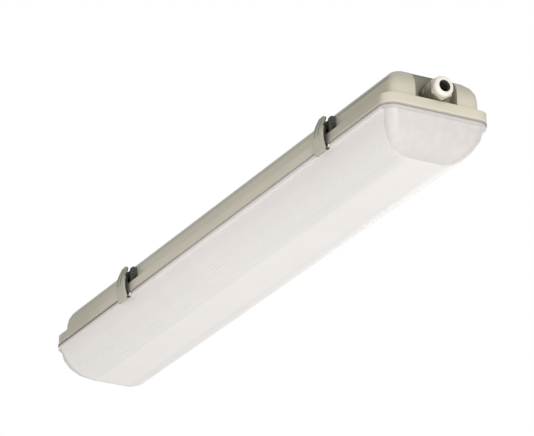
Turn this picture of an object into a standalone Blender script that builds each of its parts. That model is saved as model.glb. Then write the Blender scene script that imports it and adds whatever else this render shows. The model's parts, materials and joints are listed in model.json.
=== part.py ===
"""Vapor tight light fixture for one fluorescent tube, hung under a ceiling.

Metres, +Z up. The origin is the centre of the housing's flat top, the face that meets the ceiling.
The housing and the diffuser meet at the joint plane, JOINT_Z. The cable gland is at the +X end.
"""

import math

import bmesh
import bpy
from mathutils import Matrix, Vector

# Clearances
SEAT_GAP = 0.0003
OVERRUN = 0.002
OVERLAP = 0.0001

# Lamp, a tube with two pins at each end
LAMP_LENGTH = 0.5898
LAMP_RADIUS = 0.0127
LAMP_GLASS = 0.0008
CAP_SKIRT = 0.013
CAP_WALL = 0.0005
CAP_PLATE = 0.0012
CAP_FACE_SHARE = 0.9
CONTACT_LENGTH = 0.0071
CONTACT_RADIUS = 0.00115
CONTACT_PITCH = 0.0127

# Housing, a moulded canopy that opens downwards
LAMP_END_ROOM = 0.0351
HOUSING_LENGTH = LAMP_LENGTH + 2 * LAMP_END_ROOM
HOUSING_WIDTH = 0.100
HOUSING_HEIGHT = 0.0395
HOUSING_WALL = 0.0023
FLANGE_HEIGHT = 0.010
FLANGE_RADIUS = 0.012
FLANGE_LIP = 0.0004
FLANGE_LIP_HEIGHT = 0.0014
LEDGE_RISE = 0.0015
BODY_END_INSET = 0.0048
BODY_SIDE_INSET = 0.0076
BODY_DRAFT = 0.0005
BODY_CORNER = 0.008
SHOULDER_RISE = 0.018
SHOULDER_END_RUN = 0.020
SHOULDER_SIDE_RUN = 0.018
OPENING_INSET = 0.0099
MOUTH_HEIGHT = 0.007

# Seal between housing and diffuser
JOINT_GAP = 0.0008
GROOVE_INSET = 0.0036
GROOVE_WIDTH = 0.0034
GROOVE_DEPTH = 0.0026

# Diffuser, a ribbed bowl of clear plastic
DIFFUSER_DEPTH = 0.0355
DIFFUSER_WALL = 0.002
RIM_THICKNESS = 0.003
RIM_INSET = 0.0005
RIM_CHAMFER_RUN = 0.0012
RIM_CHAMFER_RISE = 0.0021
BOWL_END_INSET = 0.0036
BOWL_SIDE_INSET = 0.0051
BOWL_DRAFT = 0.0013
BOWL_CORNER = 0.008
BOWL_RISE = 0.0315
BOWL_END_RUN = 0.025
BOWL_SIDE_RUN = 0.027
RIB_PITCH = 0.0027
RIB_WIDTH = 0.0019
RIB_HEIGHT = 0.0006
RIB_ROOT = 0.0005
RIB_END_MARGIN = 0.0095
RIB_END_RAKE = 0.015

# Recess for the cable gland, one at each end
RECESS_DEPTH = 0.017
RECESS_WIDTH = 0.0392
KNOCKOUT_GROOVE = 0.0007

# Cable gland
GLAND_HEIGHT = 0.0202
GLAND_THREAD_RADIUS = 0.008
GLAND_BORE_RADIUS = 0.0055
GLAND_FLATS = 0.019
GLAND_HEX_LENGTH = 0.0053
GLAND_COLLET_RADIUS = 0.0076
GLAND_NUT_WALL = 0.0015
GLAND_NUT_HEX = 0.005
GLAND_NUT_NOSE = 0.0042
GLAND_NUT_LIP = 0.0012
NOSE_SHARES = (0.3, 0.6, 0.85, 1)
NOSE_DROP_SHARE = 0.8
GLAND_MOUTH_RADIUS = 0.0052
GLAND_INSERT_WALL = 0.0021
GLAND_INSERT_LENGTH = 0.0045
WASHER_THICKNESS = 0.0015
WASHER_RADIUS = 0.0094
LOCK_NUT_FLATS = 0.020
LOCK_NUT_LENGTH = 0.005
THREAD_STICKOUT = 0.0025

# Clips, and the brackets whose ears carry their pins
CLIP_FROM_CABLE_END = 0.109
CLIP_FROM_BLIND_END = 0.161
CLIP_WIDTH = 0.018
CLIP_NECK_WIDTH = 0.0124
CLIP_THICKNESS = 0.0018
CLIP_BOW = 0.0028
CLIP_STANDOFF = 0.0048
CLIP_SHOULDER = 0.002
CLIP_NECK_DROP = 0.003
CLIP_NECK_SLOPE = 0.0012
CLIP_KNUCKLE_RADIUS = 0.0026
TONGUE_RISE = 0.0093
TONGUE_LEAN = 0.0032
TONGUE_ARCH = 0.0022
TONGUE_BEND_SHARES = (0.4, 0.8)
TONGUE_INNER_SHARES = ((0.5, 0.35), (0.2, -0.11))
TONGUE_TIP_SHARE = 0.7
TIP_ROUND_SHARE = 0.4
HOOK_DEPTH = 0.0023
HOOK_SHARES = ((-0.4, 0.5), (-0.4, 0), (0, 0.35), (0, -0.3), (0, 0), (0, 0), (0.5, -0.2), (-0.4, -0.3))
BOW_SHARES = (1, 0.75, 0.5, 0.2, -0.2, -0.5, -0.8, -1)
PIVOT_SETBACK = 0.0028
PIVOT_RISE = 0.0095
CLIP_PIN_RADIUS = 0.00105
EAR_NOSE = 0.0024
EAR_TOP = 0.0065
EAR_BROW = 0.0048
EAR_WAIST_SHARE = 0.75
EAR_CREST_SHARE = 0.7
BRACKET_PLATE = 0.0015
BRACKET_PLATE_RISE = 0.001
BRACKET_FOOT = 0.0012
BRACKET_TOE = 0.0017
BRACKET_TAB = 0.0012
BRACKET_TAB_DEPTH = 0.003

# Gear tray, white pressed steel
TRAY_THICKNESS = 0.001
TRAY_HEIGHT = 0.005
TRAY_LIP_DROP = 0.004
TRAY_LIP_RUN = 0.004
TRAY_SIDE_GAP = 0.003
TRAY_END_GAP = 0.004
REST_PAD_GAP = 0.0012
REST_PAD_LENGTH = 0.008

# Tray fasteners, a quarter turn each
FASTENER_FROM_END = 0.130
FASTENER_FROM_EDGE = 0.0101
FASTENER_HEAD_RADIUS = 0.0055
FASTENER_HEAD_HEIGHT = 0.0022
FASTENER_WING = 0.0026
FASTENER_WING_THICKNESS = 0.0022
FASTENER_WING_SHARE = 0.8
FASTENER_FACE_SHARE = 0.85
FASTENER_SHANK_RADIUS = 0.0026
FASTENER_SHANK_REACH = 0.007
BOSS_RADIUS = 0.005

# Lampholders and their rotors
HOLDER_THICKNESS = 0.0116
HOLDER_RADIUS = 0.0125
HOLDER_SHOULDER_WIDTH = 0.021
HOLDER_NECK_LENGTH = 0.007
HOLDER_NECK_WIDTH = 0.015
HOLDER_HEAD_HEIGHT = 0.003
HOLDER_HEAD_MARGIN = 0.002
ROTOR_RADIUS = 0.008
ROTOR_LENGTH = 0.009
ROTOR_SLOT = 0.0029
LAMP_BOTTOM_ROOM = 0.0065

# Control gear on top of the tray
BALLAST_LENGTH = 0.250
BALLAST_WIDTH = 0.030
BALLAST_HEIGHT = 0.021
BALLAST_EDGE = 0.0015
BALLAST_FOOT_LENGTH = 0.009
BALLAST_FOOT_HEIGHT = 0.0016
BALLAST_SHIFT = -0.040
BALLAST_SOCKET_DEPTH = 0.003
BALLAST_SOCKET_RADIUS = 0.0017
SCREW_RADIUS = 0.0016
SCREW_HEAD_RADIUS = 0.0034
SCREW_HEAD_HEIGHT = 0.0019
SCREW_REACH = 0.0025
SCREW_CROWN_SHARE = 0.6
TERMINAL_LENGTH = 0.024
TERMINAL_WIDTH = 0.030
TERMINAL_HEIGHT = 0.015
TERMINAL_STEP = 0.005
TERMINAL_FROM_END = 0.062
TERMINAL_PORT = 0.0032
WIRE_RADIUS = 0.0011
WIRE_PITCH = 0.0048
WIRE_CLIMB = 0.0045
WIRE_DROP = 0.0022
LEAD_TURN = 0.012
LEAD_SIDE = 0.0022
LEAD_PITCH = 0.0028
LEAD_REACH = 0.018
LEAD_SPREAD = 0.0036
MAINS_SPREAD_SHARE = 2
MAINS_SHARES = ((0.12, 1, 0), (0.4, 0.7, 0.33), (0.7, 0.3, 1.16), (0.88, 0, 1))
BLIND_SHARES = ((0.15, 0), (0.5, 1), (0.9, 0.5))
LEAD_END_SHARES = ((0.7, 0.35, 1), (0.35, 0.8, 0.5))
LEAD_DROP_SHARE = 1 / 6

# Fixing holes in the top and their seals
FIXING_FROM_END = 0.115
FIXING_HOLE_RADIUS = 0.0028
FIXING_SEAL_RADIUS = 0.0055
FIXING_SEAL_THICKNESS = 0.0025
SEAL_CROWN_SHARE = 0.7

# Facet counts
CORNER_STEPS = 5
SHOULDER_STEPS = 5
ROUND_SIDES = 24
SMALL_SIDES = 12
KNUCKLE_STEPS = 8
ARCH_STEPS = 4
HOLDER_STEPS = 8
KNUCKLE_START = math.radians(60)
KNUCKLE_SWEEP = math.radians(240)
SMOOTH_ANGLE = math.radians(35)

# Places worked out from the sizes above
HALF_LENGTH = HOUSING_LENGTH / 2
HALF_WIDTH = HOUSING_WIDTH / 2
JOINT_Z = -HOUSING_HEIGHT
RECESS_WALL_X = HALF_LENGTH - RECESS_DEPTH
GLAND_Z = JOINT_Z + GLAND_HEIGHT
TRAY_Z = JOINT_Z + TRAY_HEIGHT
TRAY_TOP_Z = TRAY_Z + TRAY_THICKNESS
GEAR_Z = TRAY_TOP_Z + SEAT_GAP
TRAY_HALF_LENGTH = HALF_LENGTH - OPENING_INSET - TRAY_END_GAP
TRAY_HALF_WIDTH = HALF_WIDTH - OPENING_INSET - TRAY_SIDE_GAP
LAMP_DEPTH = DIFFUSER_DEPTH - DIFFUSER_WALL - LAMP_BOTTOM_ROOM - LAMP_RADIUS
LAMP_Z = JOINT_Z - LAMP_DEPTH
LAMP_HALF = LAMP_LENGTH / 2
HOLDER_X = LAMP_HALF + SEAT_GAP + SEAT_GAP
PIVOT_Y = HALF_WIDTH - PIVOT_SETBACK
PIVOT_Z = JOINT_Z + FLANGE_HEIGHT + PIVOT_RISE
CLIP_PLACES = (HALF_LENGTH - CLIP_FROM_CABLE_END, CLIP_FROM_BLIND_END - HALF_LENGTH)
TERMINAL_X = HALF_LENGTH - TERMINAL_FROM_END

# Places along the gland, from the lock nut out to the dome nut's mouth
GLAND_CENTRE = (0, 0, GLAND_Z)
LOCK_NUT_END = RECESS_WALL_X - HOUSING_WALL - SEAT_GAP
LOCK_NUT_START = LOCK_NUT_END - LOCK_NUT_LENGTH
WASHER_START = RECESS_WALL_X + SEAT_GAP
WASHER_END = WASHER_START + WASHER_THICKNESS
BODY_HEX_START = WASHER_END + SEAT_GAP
BODY_HEX_END = BODY_HEX_START + GLAND_HEX_LENGTH
NUT_START = BODY_HEX_END + SEAT_GAP
NUT_HEX_START = HALF_LENGTH + SEAT_GAP
NUT_HEX_END = NUT_HEX_START + GLAND_NUT_HEX
NUT_END = NUT_HEX_END + GLAND_NUT_NOSE
INSERT_END = NUT_END - GLAND_NUT_LIP - SEAT_GAP
INSERT_START = INSERT_END - GLAND_INSERT_LENGTH
NUT_BORE_RADIUS = GLAND_COLLET_RADIUS + SEAT_GAP
NUT_RADIUS = NUT_BORE_RADIUS + GLAND_NUT_WALL

FINISHES = {
    "housing_grey": ((0.56, 0.53, 0.44), 0.55, 0.0),
    "seal_black": ((0.05, 0.05, 0.05), 0.8, 0.0),
    "clear_diffuser": ((0.84, 0.82, 0.80), 0.3, 0.0),
    "clip_grey": ((0.36, 0.36, 0.28), 0.5, 0.0),
    "bracket_grey": ((0.10, 0.10, 0.07), 0.5, 0.0),
    "gland_cream": ((0.80, 0.76, 0.66), 0.4, 0.0),
    "steel": ((0.62, 0.62, 0.60), 0.3, 1.0),
    "white_enamel": ((0.86, 0.86, 0.84), 0.35, 0.0),
    "white_plastic": ((0.82, 0.81, 0.77), 0.45, 0.0),
    "lamp_glass": ((0.92, 0.92, 0.90), 0.25, 0.0),
    "aluminium": ((0.72, 0.72, 0.72), 0.35, 1.0),
    "brass": ((0.75, 0.60, 0.30), 0.35, 1.0),
    "gear_white": ((0.78, 0.78, 0.76), 0.4, 0.0),
    "wire_brown": ((0.22, 0.10, 0.05), 0.5, 0.0),
    "wire_blue": ((0.05, 0.16, 0.45), 0.5, 0.0),
    "wire_green": ((0.15, 0.40, 0.10), 0.5, 0.0),
    "wire_white": ((0.80, 0.80, 0.78), 0.5, 0.0),
}


def clear_scene():
    for obj in list(bpy.data.objects):
        bpy.data.objects.remove(obj, do_unlink=True)


def finish_material(name):
    """The named finish as a Principled material, made on first use."""
    if name in bpy.data.materials:
        return bpy.data.materials[name]
    colour, roughness, metallic = FINISHES[name]
    material = bpy.data.materials.new(name)
    material.use_nodes = True
    shader = material.node_tree.nodes["Principled BSDF"]
    shader.inputs["Base Color"].default_value = (*colour, 1.0)
    shader.inputs["Roughness"].default_value = roughness
    shader.inputs["Metallic"].default_value = metallic
    material.diffuse_color = (*colour, 1.0)
    return material


def add_object(name, bm, finish=None, place=(0, 0, 0)):
    """Turns a bmesh into an object. With no finish it is a hidden cutter."""
    bmesh.ops.recalc_face_normals(bm, faces=bm.faces)
    mesh = bpy.data.meshes.new(name)
    bm.to_mesh(mesh)
    bm.free()
    obj = bpy.data.objects.new(name, mesh)
    obj.location = place
    bpy.context.scene.collection.objects.link(obj)
    if finish is None:
        obj.hide_render = True
        obj.display_type = "WIRE"
        return obj
    mesh.materials.append(finish_material(finish))
    mesh.shade_smooth()
    mesh.set_sharp_from_angle(angle=SMOOTH_ANGLE)
    return obj


def combine(obj, other, operation):
    """Adds an exact Boolean of the other, hidden, object."""
    step = obj.modifiers.new(other.name, "BOOLEAN")
    step.operation = operation
    step.solver = "EXACT"
    step.object = other
    return obj


def soften(obj, width, segments=2):
    step = obj.modifiers.new("edge", "BEVEL")
    step.width = width
    step.segments = segments
    step.limit_method = "ANGLE"
    return obj


def add_ring(bm, points):
    return [bm.verts.new(point) for point in points]


def join_rings(bm, first, second):
    for i in range(len(first)):
        j = (i + 1) % len(first)
        bm.faces.new((first[i], first[j], second[j], second[i]))


def loft(bm, outlines, closed=False):
    """Skins outlines of equal length in order. Open ends are capped, a closed loft returns to its start."""
    rings = [add_ring(bm, outline) for outline in outlines]
    for first, second in zip(rings, rings[1:]):
        join_rings(bm, first, second)
    if closed:
        join_rings(bm, rings[-1], rings[0])
    else:
        bm.faces.new(rings[0])
        bm.faces.new(rings[-1])
    return rings


def rounded_outline(half_length, half_width, radius, z):
    """A rounded rectangle in the XY plane."""
    points = []
    for quarter, (sx, sy) in enumerate(((1, 1), (-1, 1), (-1, -1), (1, -1))):
        for step in range(CORNER_STEPS + 1):
            angle = math.pi / 2 * (quarter + step / CORNER_STEPS)
            x = sx * (half_length - radius) + radius * math.cos(angle)
            y = sy * (half_width - radius) + radius * math.sin(angle)
            points.append((x, y, z))
    return points


def flange_outline(inset, z):
    return rounded_outline(HALF_LENGTH - inset, HALF_WIDTH - inset, FLANGE_RADIUS - inset, z)


def dome_outlines(base_z, height, wall, form):
    """Outlines from a straight, drafted wall up over an elliptical shoulder. A negative height goes down."""
    way = math.copysign(1, height)
    end_inset, side_inset, draft, corner, rise, end_run, side_run = form
    shoulder_z = JOINT_Z + height - way * rise
    outlines = [
        rounded_outline(HALF_LENGTH - end_inset - wall, HALF_WIDTH - side_inset - wall, corner - wall, base_z)
    ]
    for step in range(SHOULDER_STEPS + 1):
        angle = math.pi / 2 * step / SHOULDER_STEPS
        lean = draft + wall
        x = HALF_LENGTH - end_inset - lean - (end_run - wall) * (1 - math.cos(angle))
        y = HALF_WIDTH - side_inset - lean - (side_run - wall) * (1 - math.cos(angle))
        z = shoulder_z + way * (rise - wall) * math.sin(angle)
        outlines.append(rounded_outline(x, y, corner - wall, z))
    return outlines


HOUSING_FORM = (
    BODY_END_INSET,
    BODY_SIDE_INSET,
    BODY_DRAFT,
    BODY_CORNER,
    SHOULDER_RISE,
    SHOULDER_END_RUN,
    SHOULDER_SIDE_RUN,
)
BOWL_FORM = (
    BOWL_END_INSET,
    BOWL_SIDE_INSET,
    BOWL_DRAFT,
    BOWL_CORNER,
    BOWL_RISE,
    BOWL_END_RUN,
    BOWL_SIDE_RUN,
)


def box(bm, low, high):
    """A box between two corners."""
    size = [b - a for a, b in zip(low, high)]
    middle = [(a + b) / 2 for a, b in zip(low, high)]
    matrix = Matrix.Translation(middle) @ Matrix.Diagonal((*size, 1))
    return bmesh.ops.create_cube(bm, size=1, matrix=matrix)["verts"]


def prism(bm, outline, start, end):
    """Extrudes a closed YZ outline along X."""
    loft(bm, [[(x, y, z) for y, z in outline] for x in (start, end)])


def front_prism(bm, outline, start, end):
    """Extrudes a closed XZ outline along Y."""
    loft(bm, [[(x, y, z) for x, z in outline] for y in (start, end)])


def turned(bm, profile, sides, axis="X", bored=False, centre=(0, 0, 0)):
    """Revolves (along, radius) points about an axis through the centre. A bored profile is a closed ring."""
    outlines = []
    for along, radius in profile:
        ring = []
        for i in range(sides):
            angle = 2 * math.pi * (i + 1 / 2) / sides
            across = (radius * math.cos(angle), radius * math.sin(angle))
            point = (along, *across) if axis == "X" else (*across, along)
            ring.append([a + b for a, b in zip(centre, point)])
        outlines.append(ring)
    loft(bm, outlines, closed=bored)


def hexagon(flats, vertex_down):
    """YZ corners of a hexagon of this width across its flats."""
    start = math.pi / 2 if vertex_down else 0
    radius = flats / math.sqrt(3)
    angles = [start + math.pi / 3 * i for i in range(6)]
    return [(radius * math.cos(angle), radius * math.sin(angle)) for angle in angles]


def smooth_route(points, steps):
    """A smooth curve through the points. Its first and last legs are straight."""
    line = [Vector(point) for point in points]
    ways = [(after - before).normalized() for before, after in zip(line, line[2:])]
    ways[0] = (line[1] - line[0]).normalized()
    ways[-1] = (line[-1] - line[-2]).normalized()
    route = [line[0]]
    for start, end, leave, arrive in zip(line[1:], line[2:], ways, ways[1:]):
        leg = (end - start).length
        for step in range(steps):
            t = step / steps
            bend = leg * t * (1 - t)
            straight = start.lerp(end, t * t * (3 - 2 * t))
            route.append(straight + leave * bend * (1 - t) - arrive * bend * t)
    return route + line[-2:]


def make_housing():
    """The canopy: a solid outer form less its cavity, groove, gland recesses, sockets and holes."""
    bm = bmesh.new()
    top_of_flange = JOINT_Z + FLANGE_HEIGHT
    outlines = [
        flange_outline(0, JOINT_Z),
        flange_outline(0, JOINT_Z + FLANGE_LIP_HEIGHT),
        flange_outline(FLANGE_LIP, JOINT_Z + FLANGE_LIP_HEIGHT + FLANGE_LIP),
        flange_outline(FLANGE_LIP, top_of_flange),
    ]
    outlines += dome_outlines(top_of_flange + LEDGE_RISE, HOUSING_HEIGHT, 0, HOUSING_FORM)
    loft(bm, outlines)
    housing = add_object("housing", bm, "housing_grey")
    combine(housing, housing_cavity(), "DIFFERENCE")
    combine(housing, seal_groove(), "DIFFERENCE")
    combine(housing, bracket_sockets(), "DIFFERENCE")
    combine(housing, housing_holes(), "DIFFERENCE")
    combine(housing, gland_recesses(), "DIFFERENCE")


def housing_cavity():
    """The canopy's hollow, which leaves the gland pockets, fastener bosses and tray rests standing."""
    bm = bmesh.new()
    mouth = rounded_outline(
        HALF_LENGTH - OPENING_INSET,
        HALF_WIDTH - OPENING_INSET,
        BODY_CORNER - HOUSING_WALL,
        JOINT_Z - OVERRUN,
    )
    inner = dome_outlines(JOINT_Z + FLANGE_HEIGHT, HOUSING_HEIGHT, HOUSING_WALL, HOUSING_FORM)
    mouth_top = [(x, y, JOINT_Z + MOUTH_HEIGHT) for x, y, z in mouth]
    loft(bm, [mouth, mouth_top] + inner)
    cavity = add_object("housing_cavity", bm)
    return combine(cavity, cavity_islands(), "DIFFERENCE")


def cavity_islands():
    """What stands in the cavity: a walled pocket behind each recess, two bosses and four tray rests."""
    bm = bmesh.new()
    for end in (1, -1):
        xs = sorted((end * (RECESS_WALL_X - HOUSING_WALL), end * (HALF_LENGTH + OVERRUN)))
        half = RECESS_WIDTH / 2 + HOUSING_WALL
        floor = JOINT_Z + FLANGE_HEIGHT - HOUSING_WALL
        box(bm, (xs[0], -half, floor), (xs[1], half, OVERRUN))
        turned_at(bm, fastener_place(end), GEAR_Z, OVERRUN, BOSS_RADIUS, ROUND_SIDES)
        for side in (1, -1):
            near = TRAY_HALF_LENGTH - REST_PAD_LENGTH
            xs = sorted((end * near, end * (HALF_LENGTH - OPENING_INSET + OVERRUN)))
            ys = sorted((side * (half + REST_PAD_GAP), side * (TRAY_HALF_WIDTH - TRAY_LIP_RUN)))
            box(bm, (xs[0], ys[0], GEAR_Z), (xs[1], ys[1], OVERRUN))
    return add_object("cavity_islands", bm)


def fastener_place(end):
    """Where a tray fastener stands, on opposite corners at the two ends."""
    return (end * (HALF_LENGTH - FASTENER_FROM_END), end * (TRAY_HALF_WIDTH - FASTENER_FROM_EDGE))


def fixing_place(end):
    """Where a fixing hole goes through the top."""
    return (end * (HALF_LENGTH - FIXING_FROM_END), 0)


def turned_at(bm, centre, low, high, radius, sides):
    """An upright cylinder between two heights."""
    matrix = Matrix.Translation((centre[0], centre[1], (low + high) / 2))
    bmesh.ops.create_cone(
        bm,
        cap_ends=True,
        segments=sides,
        radius1=radius,
        radius2=radius,
        depth=high - low,
        matrix=matrix,
    )


def seal_groove():
    bm = bmesh.new()
    depth = JOINT_Z + GROOVE_DEPTH
    outer = GROOVE_INSET
    inner = GROOVE_INSET + GROOVE_WIDTH
    low = JOINT_Z - OVERRUN
    corners = ((outer, low), (outer, depth), (inner, depth), (inner, low))
    loft(bm, [flange_outline(inset, z) for inset, z in corners], closed=True)
    return add_object("seal_groove", bm)


def gland_recesses():
    bm = bmesh.new()
    for end in (1, -1):
        xs = sorted((end * RECESS_WALL_X, end * (HALF_LENGTH + OVERRUN)))
        half = RECESS_WIDTH / 2
        box(bm, (xs[0], -half, JOINT_Z + FLANGE_HEIGHT), (xs[1], half, OVERRUN))
    return add_object("gland_recesses", bm)


def housing_holes():
    """Gland hole, knock-out ring at the blind end, fixing holes and fastener sockets."""
    bm = bmesh.new()
    hole = GLAND_THREAD_RADIUS + SEAT_GAP
    wall = [(RECESS_WALL_X - HOUSING_WALL - OVERRUN, hole), (RECESS_WALL_X + OVERRUN, hole)]
    turned(bm, wall, ROUND_SIDES, centre=GLAND_CENTRE)
    floor = -RECESS_WALL_X + KNOCKOUT_GROOVE
    mouth = -RECESS_WALL_X - OVERRUN
    inner = hole - KNOCKOUT_GROOVE
    ring = [(floor, inner), (floor, hole), (mouth, hole), (mouth, inner)]
    turned(bm, ring, ROUND_SIDES, bored=True, centre=GLAND_CENTRE)
    socket = FASTENER_SHANK_RADIUS + SEAT_GAP
    for end in (1, -1):
        turned_at(bm, fixing_place(end), -HOUSING_WALL - OVERRUN, OVERRUN, FIXING_HOLE_RADIUS, SMALL_SIDES)
        socket_top = TRAY_TOP_Z + FASTENER_SHANK_REACH + SEAT_GAP
        turned_at(bm, fastener_place(end), TRAY_TOP_Z - OVERRUN, socket_top, socket, SMALL_SIDES)
    return add_object("housing_holes", bm)


def sided(outline, side, centre=(0, 0)):
    """An (out, up) outline as YZ points on one side of the fixture."""
    return [(side * (centre[0] + out), centre[1] + up) for out, up in outline]


def wall_out():
    """How far the bracket's back stands out from the pin, just clear of the housing's wall."""
    return PIVOT_SETBACK - BODY_SIDE_INSET + SEAT_GAP


def ledge_up(out):
    """Height of the flange's sloped ledge under the pin, at this distance out."""
    slope = LEDGE_RISE / (BODY_SIDE_INSET - FLANGE_LIP)
    return slope * (PIVOT_SETBACK - FLANGE_LIP - out) - PIVOT_RISE


def bracket_base():
    """Side view of a bracket's back plate, foot and tab, as (out, up) from the pin."""
    back = wall_out()
    front = back + BRACKET_PLATE
    tab = BRACKET_TAB / 2
    tab_end = ledge_up(tab) - BRACKET_TAB_DEPTH
    lift = SEAT_GAP + BRACKET_FOOT
    return [
        (back, BRACKET_PLATE_RISE),
        (back, ledge_up(back) + SEAT_GAP),
        (-tab, ledge_up(-tab) + SEAT_GAP),
        (-tab, tab_end),
        (tab, tab_end),
        (tab, ledge_up(tab) + SEAT_GAP),
        (BRACKET_TOE, ledge_up(BRACKET_TOE) + SEAT_GAP),
        (BRACKET_TOE, ledge_up(BRACKET_TOE) + lift),
        (front, ledge_up(front) + lift),
        (front, BRACKET_PLATE_RISE),
    ]


def ear_outline():
    """Side view of an ear: a narrow foot, a nose in front of the pin, and a brow leaning to the wall."""
    back = wall_out() + SEAT_GAP
    toe = BRACKET_TOE - SEAT_GAP
    sole = ledge_up(toe) + SEAT_GAP + BRACKET_FOOT / 2
    return [
        (back, EAR_TOP),
        (back, 0),
        (back / 2, -EAR_BROW * EAR_WAIST_SHARE),
        (0, sole),
        (toe, sole),
        (EAR_NOSE, -CLIP_PIN_RADIUS),
        (EAR_NOSE, CLIP_PIN_RADIUS),
        (EAR_NOSE * EAR_CREST_SHARE, EAR_BROW),
        (0, EAR_TOP),
    ]


def make_bracket(name, place, side):
    location = (place, side * PIVOT_Y, PIVOT_Z)
    bm = bmesh.new()
    prism(bm, sided(bracket_base(), side), -CLIP_WIDTH / 2, CLIP_WIDTH / 2)
    bracket = add_object(name, bm, "bracket_grey", location)
    ears = bmesh.new()
    ear_inner = CLIP_NECK_WIDTH / 2 + SEAT_GAP
    ear_outer = CLIP_WIDTH / 2 - OVERLAP
    for end in (1, -1):
        prism(ears, sided(ear_outline(), side), end * ear_inner, end * ear_outer)
    combine(bracket, add_object(name + "_ears", ears, place=location), "UNION")
    combine(bracket, pin_bore(name, location), "DIFFERENCE")


def pin_bore(name, location):
    bm = bmesh.new()
    half = CLIP_WIDTH / 2 + OVERRUN
    radius = CLIP_PIN_RADIUS + SEAT_GAP
    turned(bm, [(-half, radius), (half, radius)], SMALL_SIDES)
    return add_object(name + "_bore", bm, place=location)


def bracket_sockets():
    """Slots in the flange's ledge for the tabs of the four brackets."""
    bm = bmesh.new()
    half = CLIP_WIDTH / 2 + SEAT_GAP
    low = PIVOT_Z + ledge_up(BRACKET_TAB / 2) - BRACKET_TAB_DEPTH - SEAT_GAP
    high = PIVOT_Z - PIVOT_RISE + OVERRUN
    reach = BRACKET_TAB / 2 + SEAT_GAP
    for x in CLIP_PLACES:
        for side in (1, -1):
            ys = sorted((side * (PIVOT_Y - reach), side * (PIVOT_Y + reach)))
            box(bm, (x - half, ys[0], low), (x + half, ys[1], high))
    return add_object("bracket_sockets", bm)


def plate_line(inward):
    """The bowed plate's outer or inner line from its shoulder down to the hook, as (out, up) from the pin."""
    hook = JOINT_Z - JOINT_GAP - RIM_THICKNESS - PIVOT_Z
    middle = (CLIP_SHOULDER + hook) / 2
    half = (CLIP_SHOULDER - hook) / 2
    widest = PIVOT_SETBACK + CLIP_STANDOFF + CLIP_THICKNESS - inward
    return [(widest - CLIP_BOW * share**2, middle + half * share) for share in BOW_SHARES]


def hook_line():
    """The hook under the diffuser's rim, from the plate's outer foot round to its inner foot."""
    rim_edge = PIVOT_SETBACK - RIM_INSET
    under = JOINT_Z - JOINT_GAP - RIM_THICKNESS - PIVOT_Z
    slope = math.atan2(RIM_CHAMFER_RISE, RIM_CHAMFER_RUN)
    clear_out = SEAT_GAP * math.sin(slope)
    clear_down = SEAT_GAP * math.cos(slope)
    tip = (rim_edge - RIM_CHAMFER_RUN + clear_out, under - clear_down)
    crest = (rim_edge + clear_out, under + RIM_CHAMFER_RISE - clear_down)
    foot = plate_line(0)[-1][0]
    inner_foot = foot - CLIP_THICKNESS
    heel = under - HOOK_DEPTH
    anchors = [(foot, heel), (inner_foot, heel), (rim_edge, heel), tip, tip, crest, crest]
    anchors.append((inner_foot, under))
    return [
        (out + CLIP_THICKNESS * out_share, up + CLIP_THICKNESS * up_share)
        for (out, up), (out_share, up_share) in zip(anchors, HOOK_SHARES)
    ]


def tongue_and_knuckle():
    """The thumb tongue above the plate, then down its inner side and round the knuckle on the pin."""
    outer = plate_line(0)[0][0]
    inner = plate_line(CLIP_THICKNESS)[0][0]
    rise = TONGUE_RISE - CLIP_SHOULDER
    tip = outer - TONGUE_LEAN
    thin = CLIP_THICKNESS * TONGUE_TIP_SHARE
    tip_round = thin * TIP_ROUND_SHARE
    outline = [(outer - TONGUE_LEAN * share, CLIP_SHOULDER + rise * share) for share in TONGUE_BEND_SHARES]
    outline += [(tip - tip_round, TONGUE_RISE), (tip - thin, TONGUE_RISE - tip_round)]
    for lean_share, up_share in TONGUE_INNER_SHARES:
        outline.append((inner - TONGUE_LEAN * lean_share, CLIP_SHOULDER + rise * up_share))
    for step in range(KNUCKLE_STEPS + 1):
        angle = KNUCKLE_START + KNUCKLE_SWEEP * step / KNUCKLE_STEPS
        outline.append((CLIP_KNUCKLE_RADIUS * math.cos(angle), CLIP_KNUCKLE_RADIUS * math.sin(angle)))
    return outline


def clip_front():
    """Front view of a clip: the wide plate, sloped shoulders, and a neck with an arched top."""
    wide = CLIP_WIDTH / 2
    neck = CLIP_NECK_WIDTH / 2
    shoulder = -CLIP_NECK_DROP
    half = [(wide, -HOUSING_HEIGHT), (wide, shoulder - CLIP_NECK_SLOPE), (neck, shoulder)]
    for step in range(ARCH_STEPS):
        angle = math.pi / 2 * step / ARCH_STEPS
        up = TONGUE_RISE - TONGUE_ARCH * (1 - math.sin(angle))
        half.append((neck * math.cos(angle), up))
    return half + [(0, TONGUE_RISE)] + [(-x, z) for x, z in reversed(half)]


def make_clip(name, place, side):
    """A one-piece clip: its side view extruded, then trimmed to its front view and bored for its pin."""
    location = (place, side * PIVOT_Y, PIVOT_Z)
    side_view = plate_line(0)[::-1] + tongue_and_knuckle()
    side_view += plate_line(CLIP_THICKNESS)[1:] + hook_line()[::-1]
    half = CLIP_WIDTH / 2
    bm = bmesh.new()
    prism(bm, sided(side_view, side), -half - OVERRUN, half + OVERRUN)
    clip = add_object(name, bm, "clip_grey", location)
    front = bmesh.new()
    front_prism(front, clip_front(), -HALF_WIDTH, HALF_WIDTH)
    combine(clip, add_object(name + "_front", front, place=location), "INTERSECT")
    combine(clip, pin_bore(name, location), "DIFFERENCE")
    pin = bmesh.new()
    turned(pin, [(-half, CLIP_PIN_RADIUS), (half, CLIP_PIN_RADIUS)], SMALL_SIDES)
    add_object(name.replace("clip", "clip_pin"), pin, "steel", location)


def make_clips():
    for place, end in zip(CLIP_PLACES, ("cable_end", "blind_end")):
        for side, hand in ((-1, "front"), (1, "back")):
            make_clip(f"clip_{hand}_{end}", place, side)
            make_bracket(f"bracket_{hand}_{end}", place, side)


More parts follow.
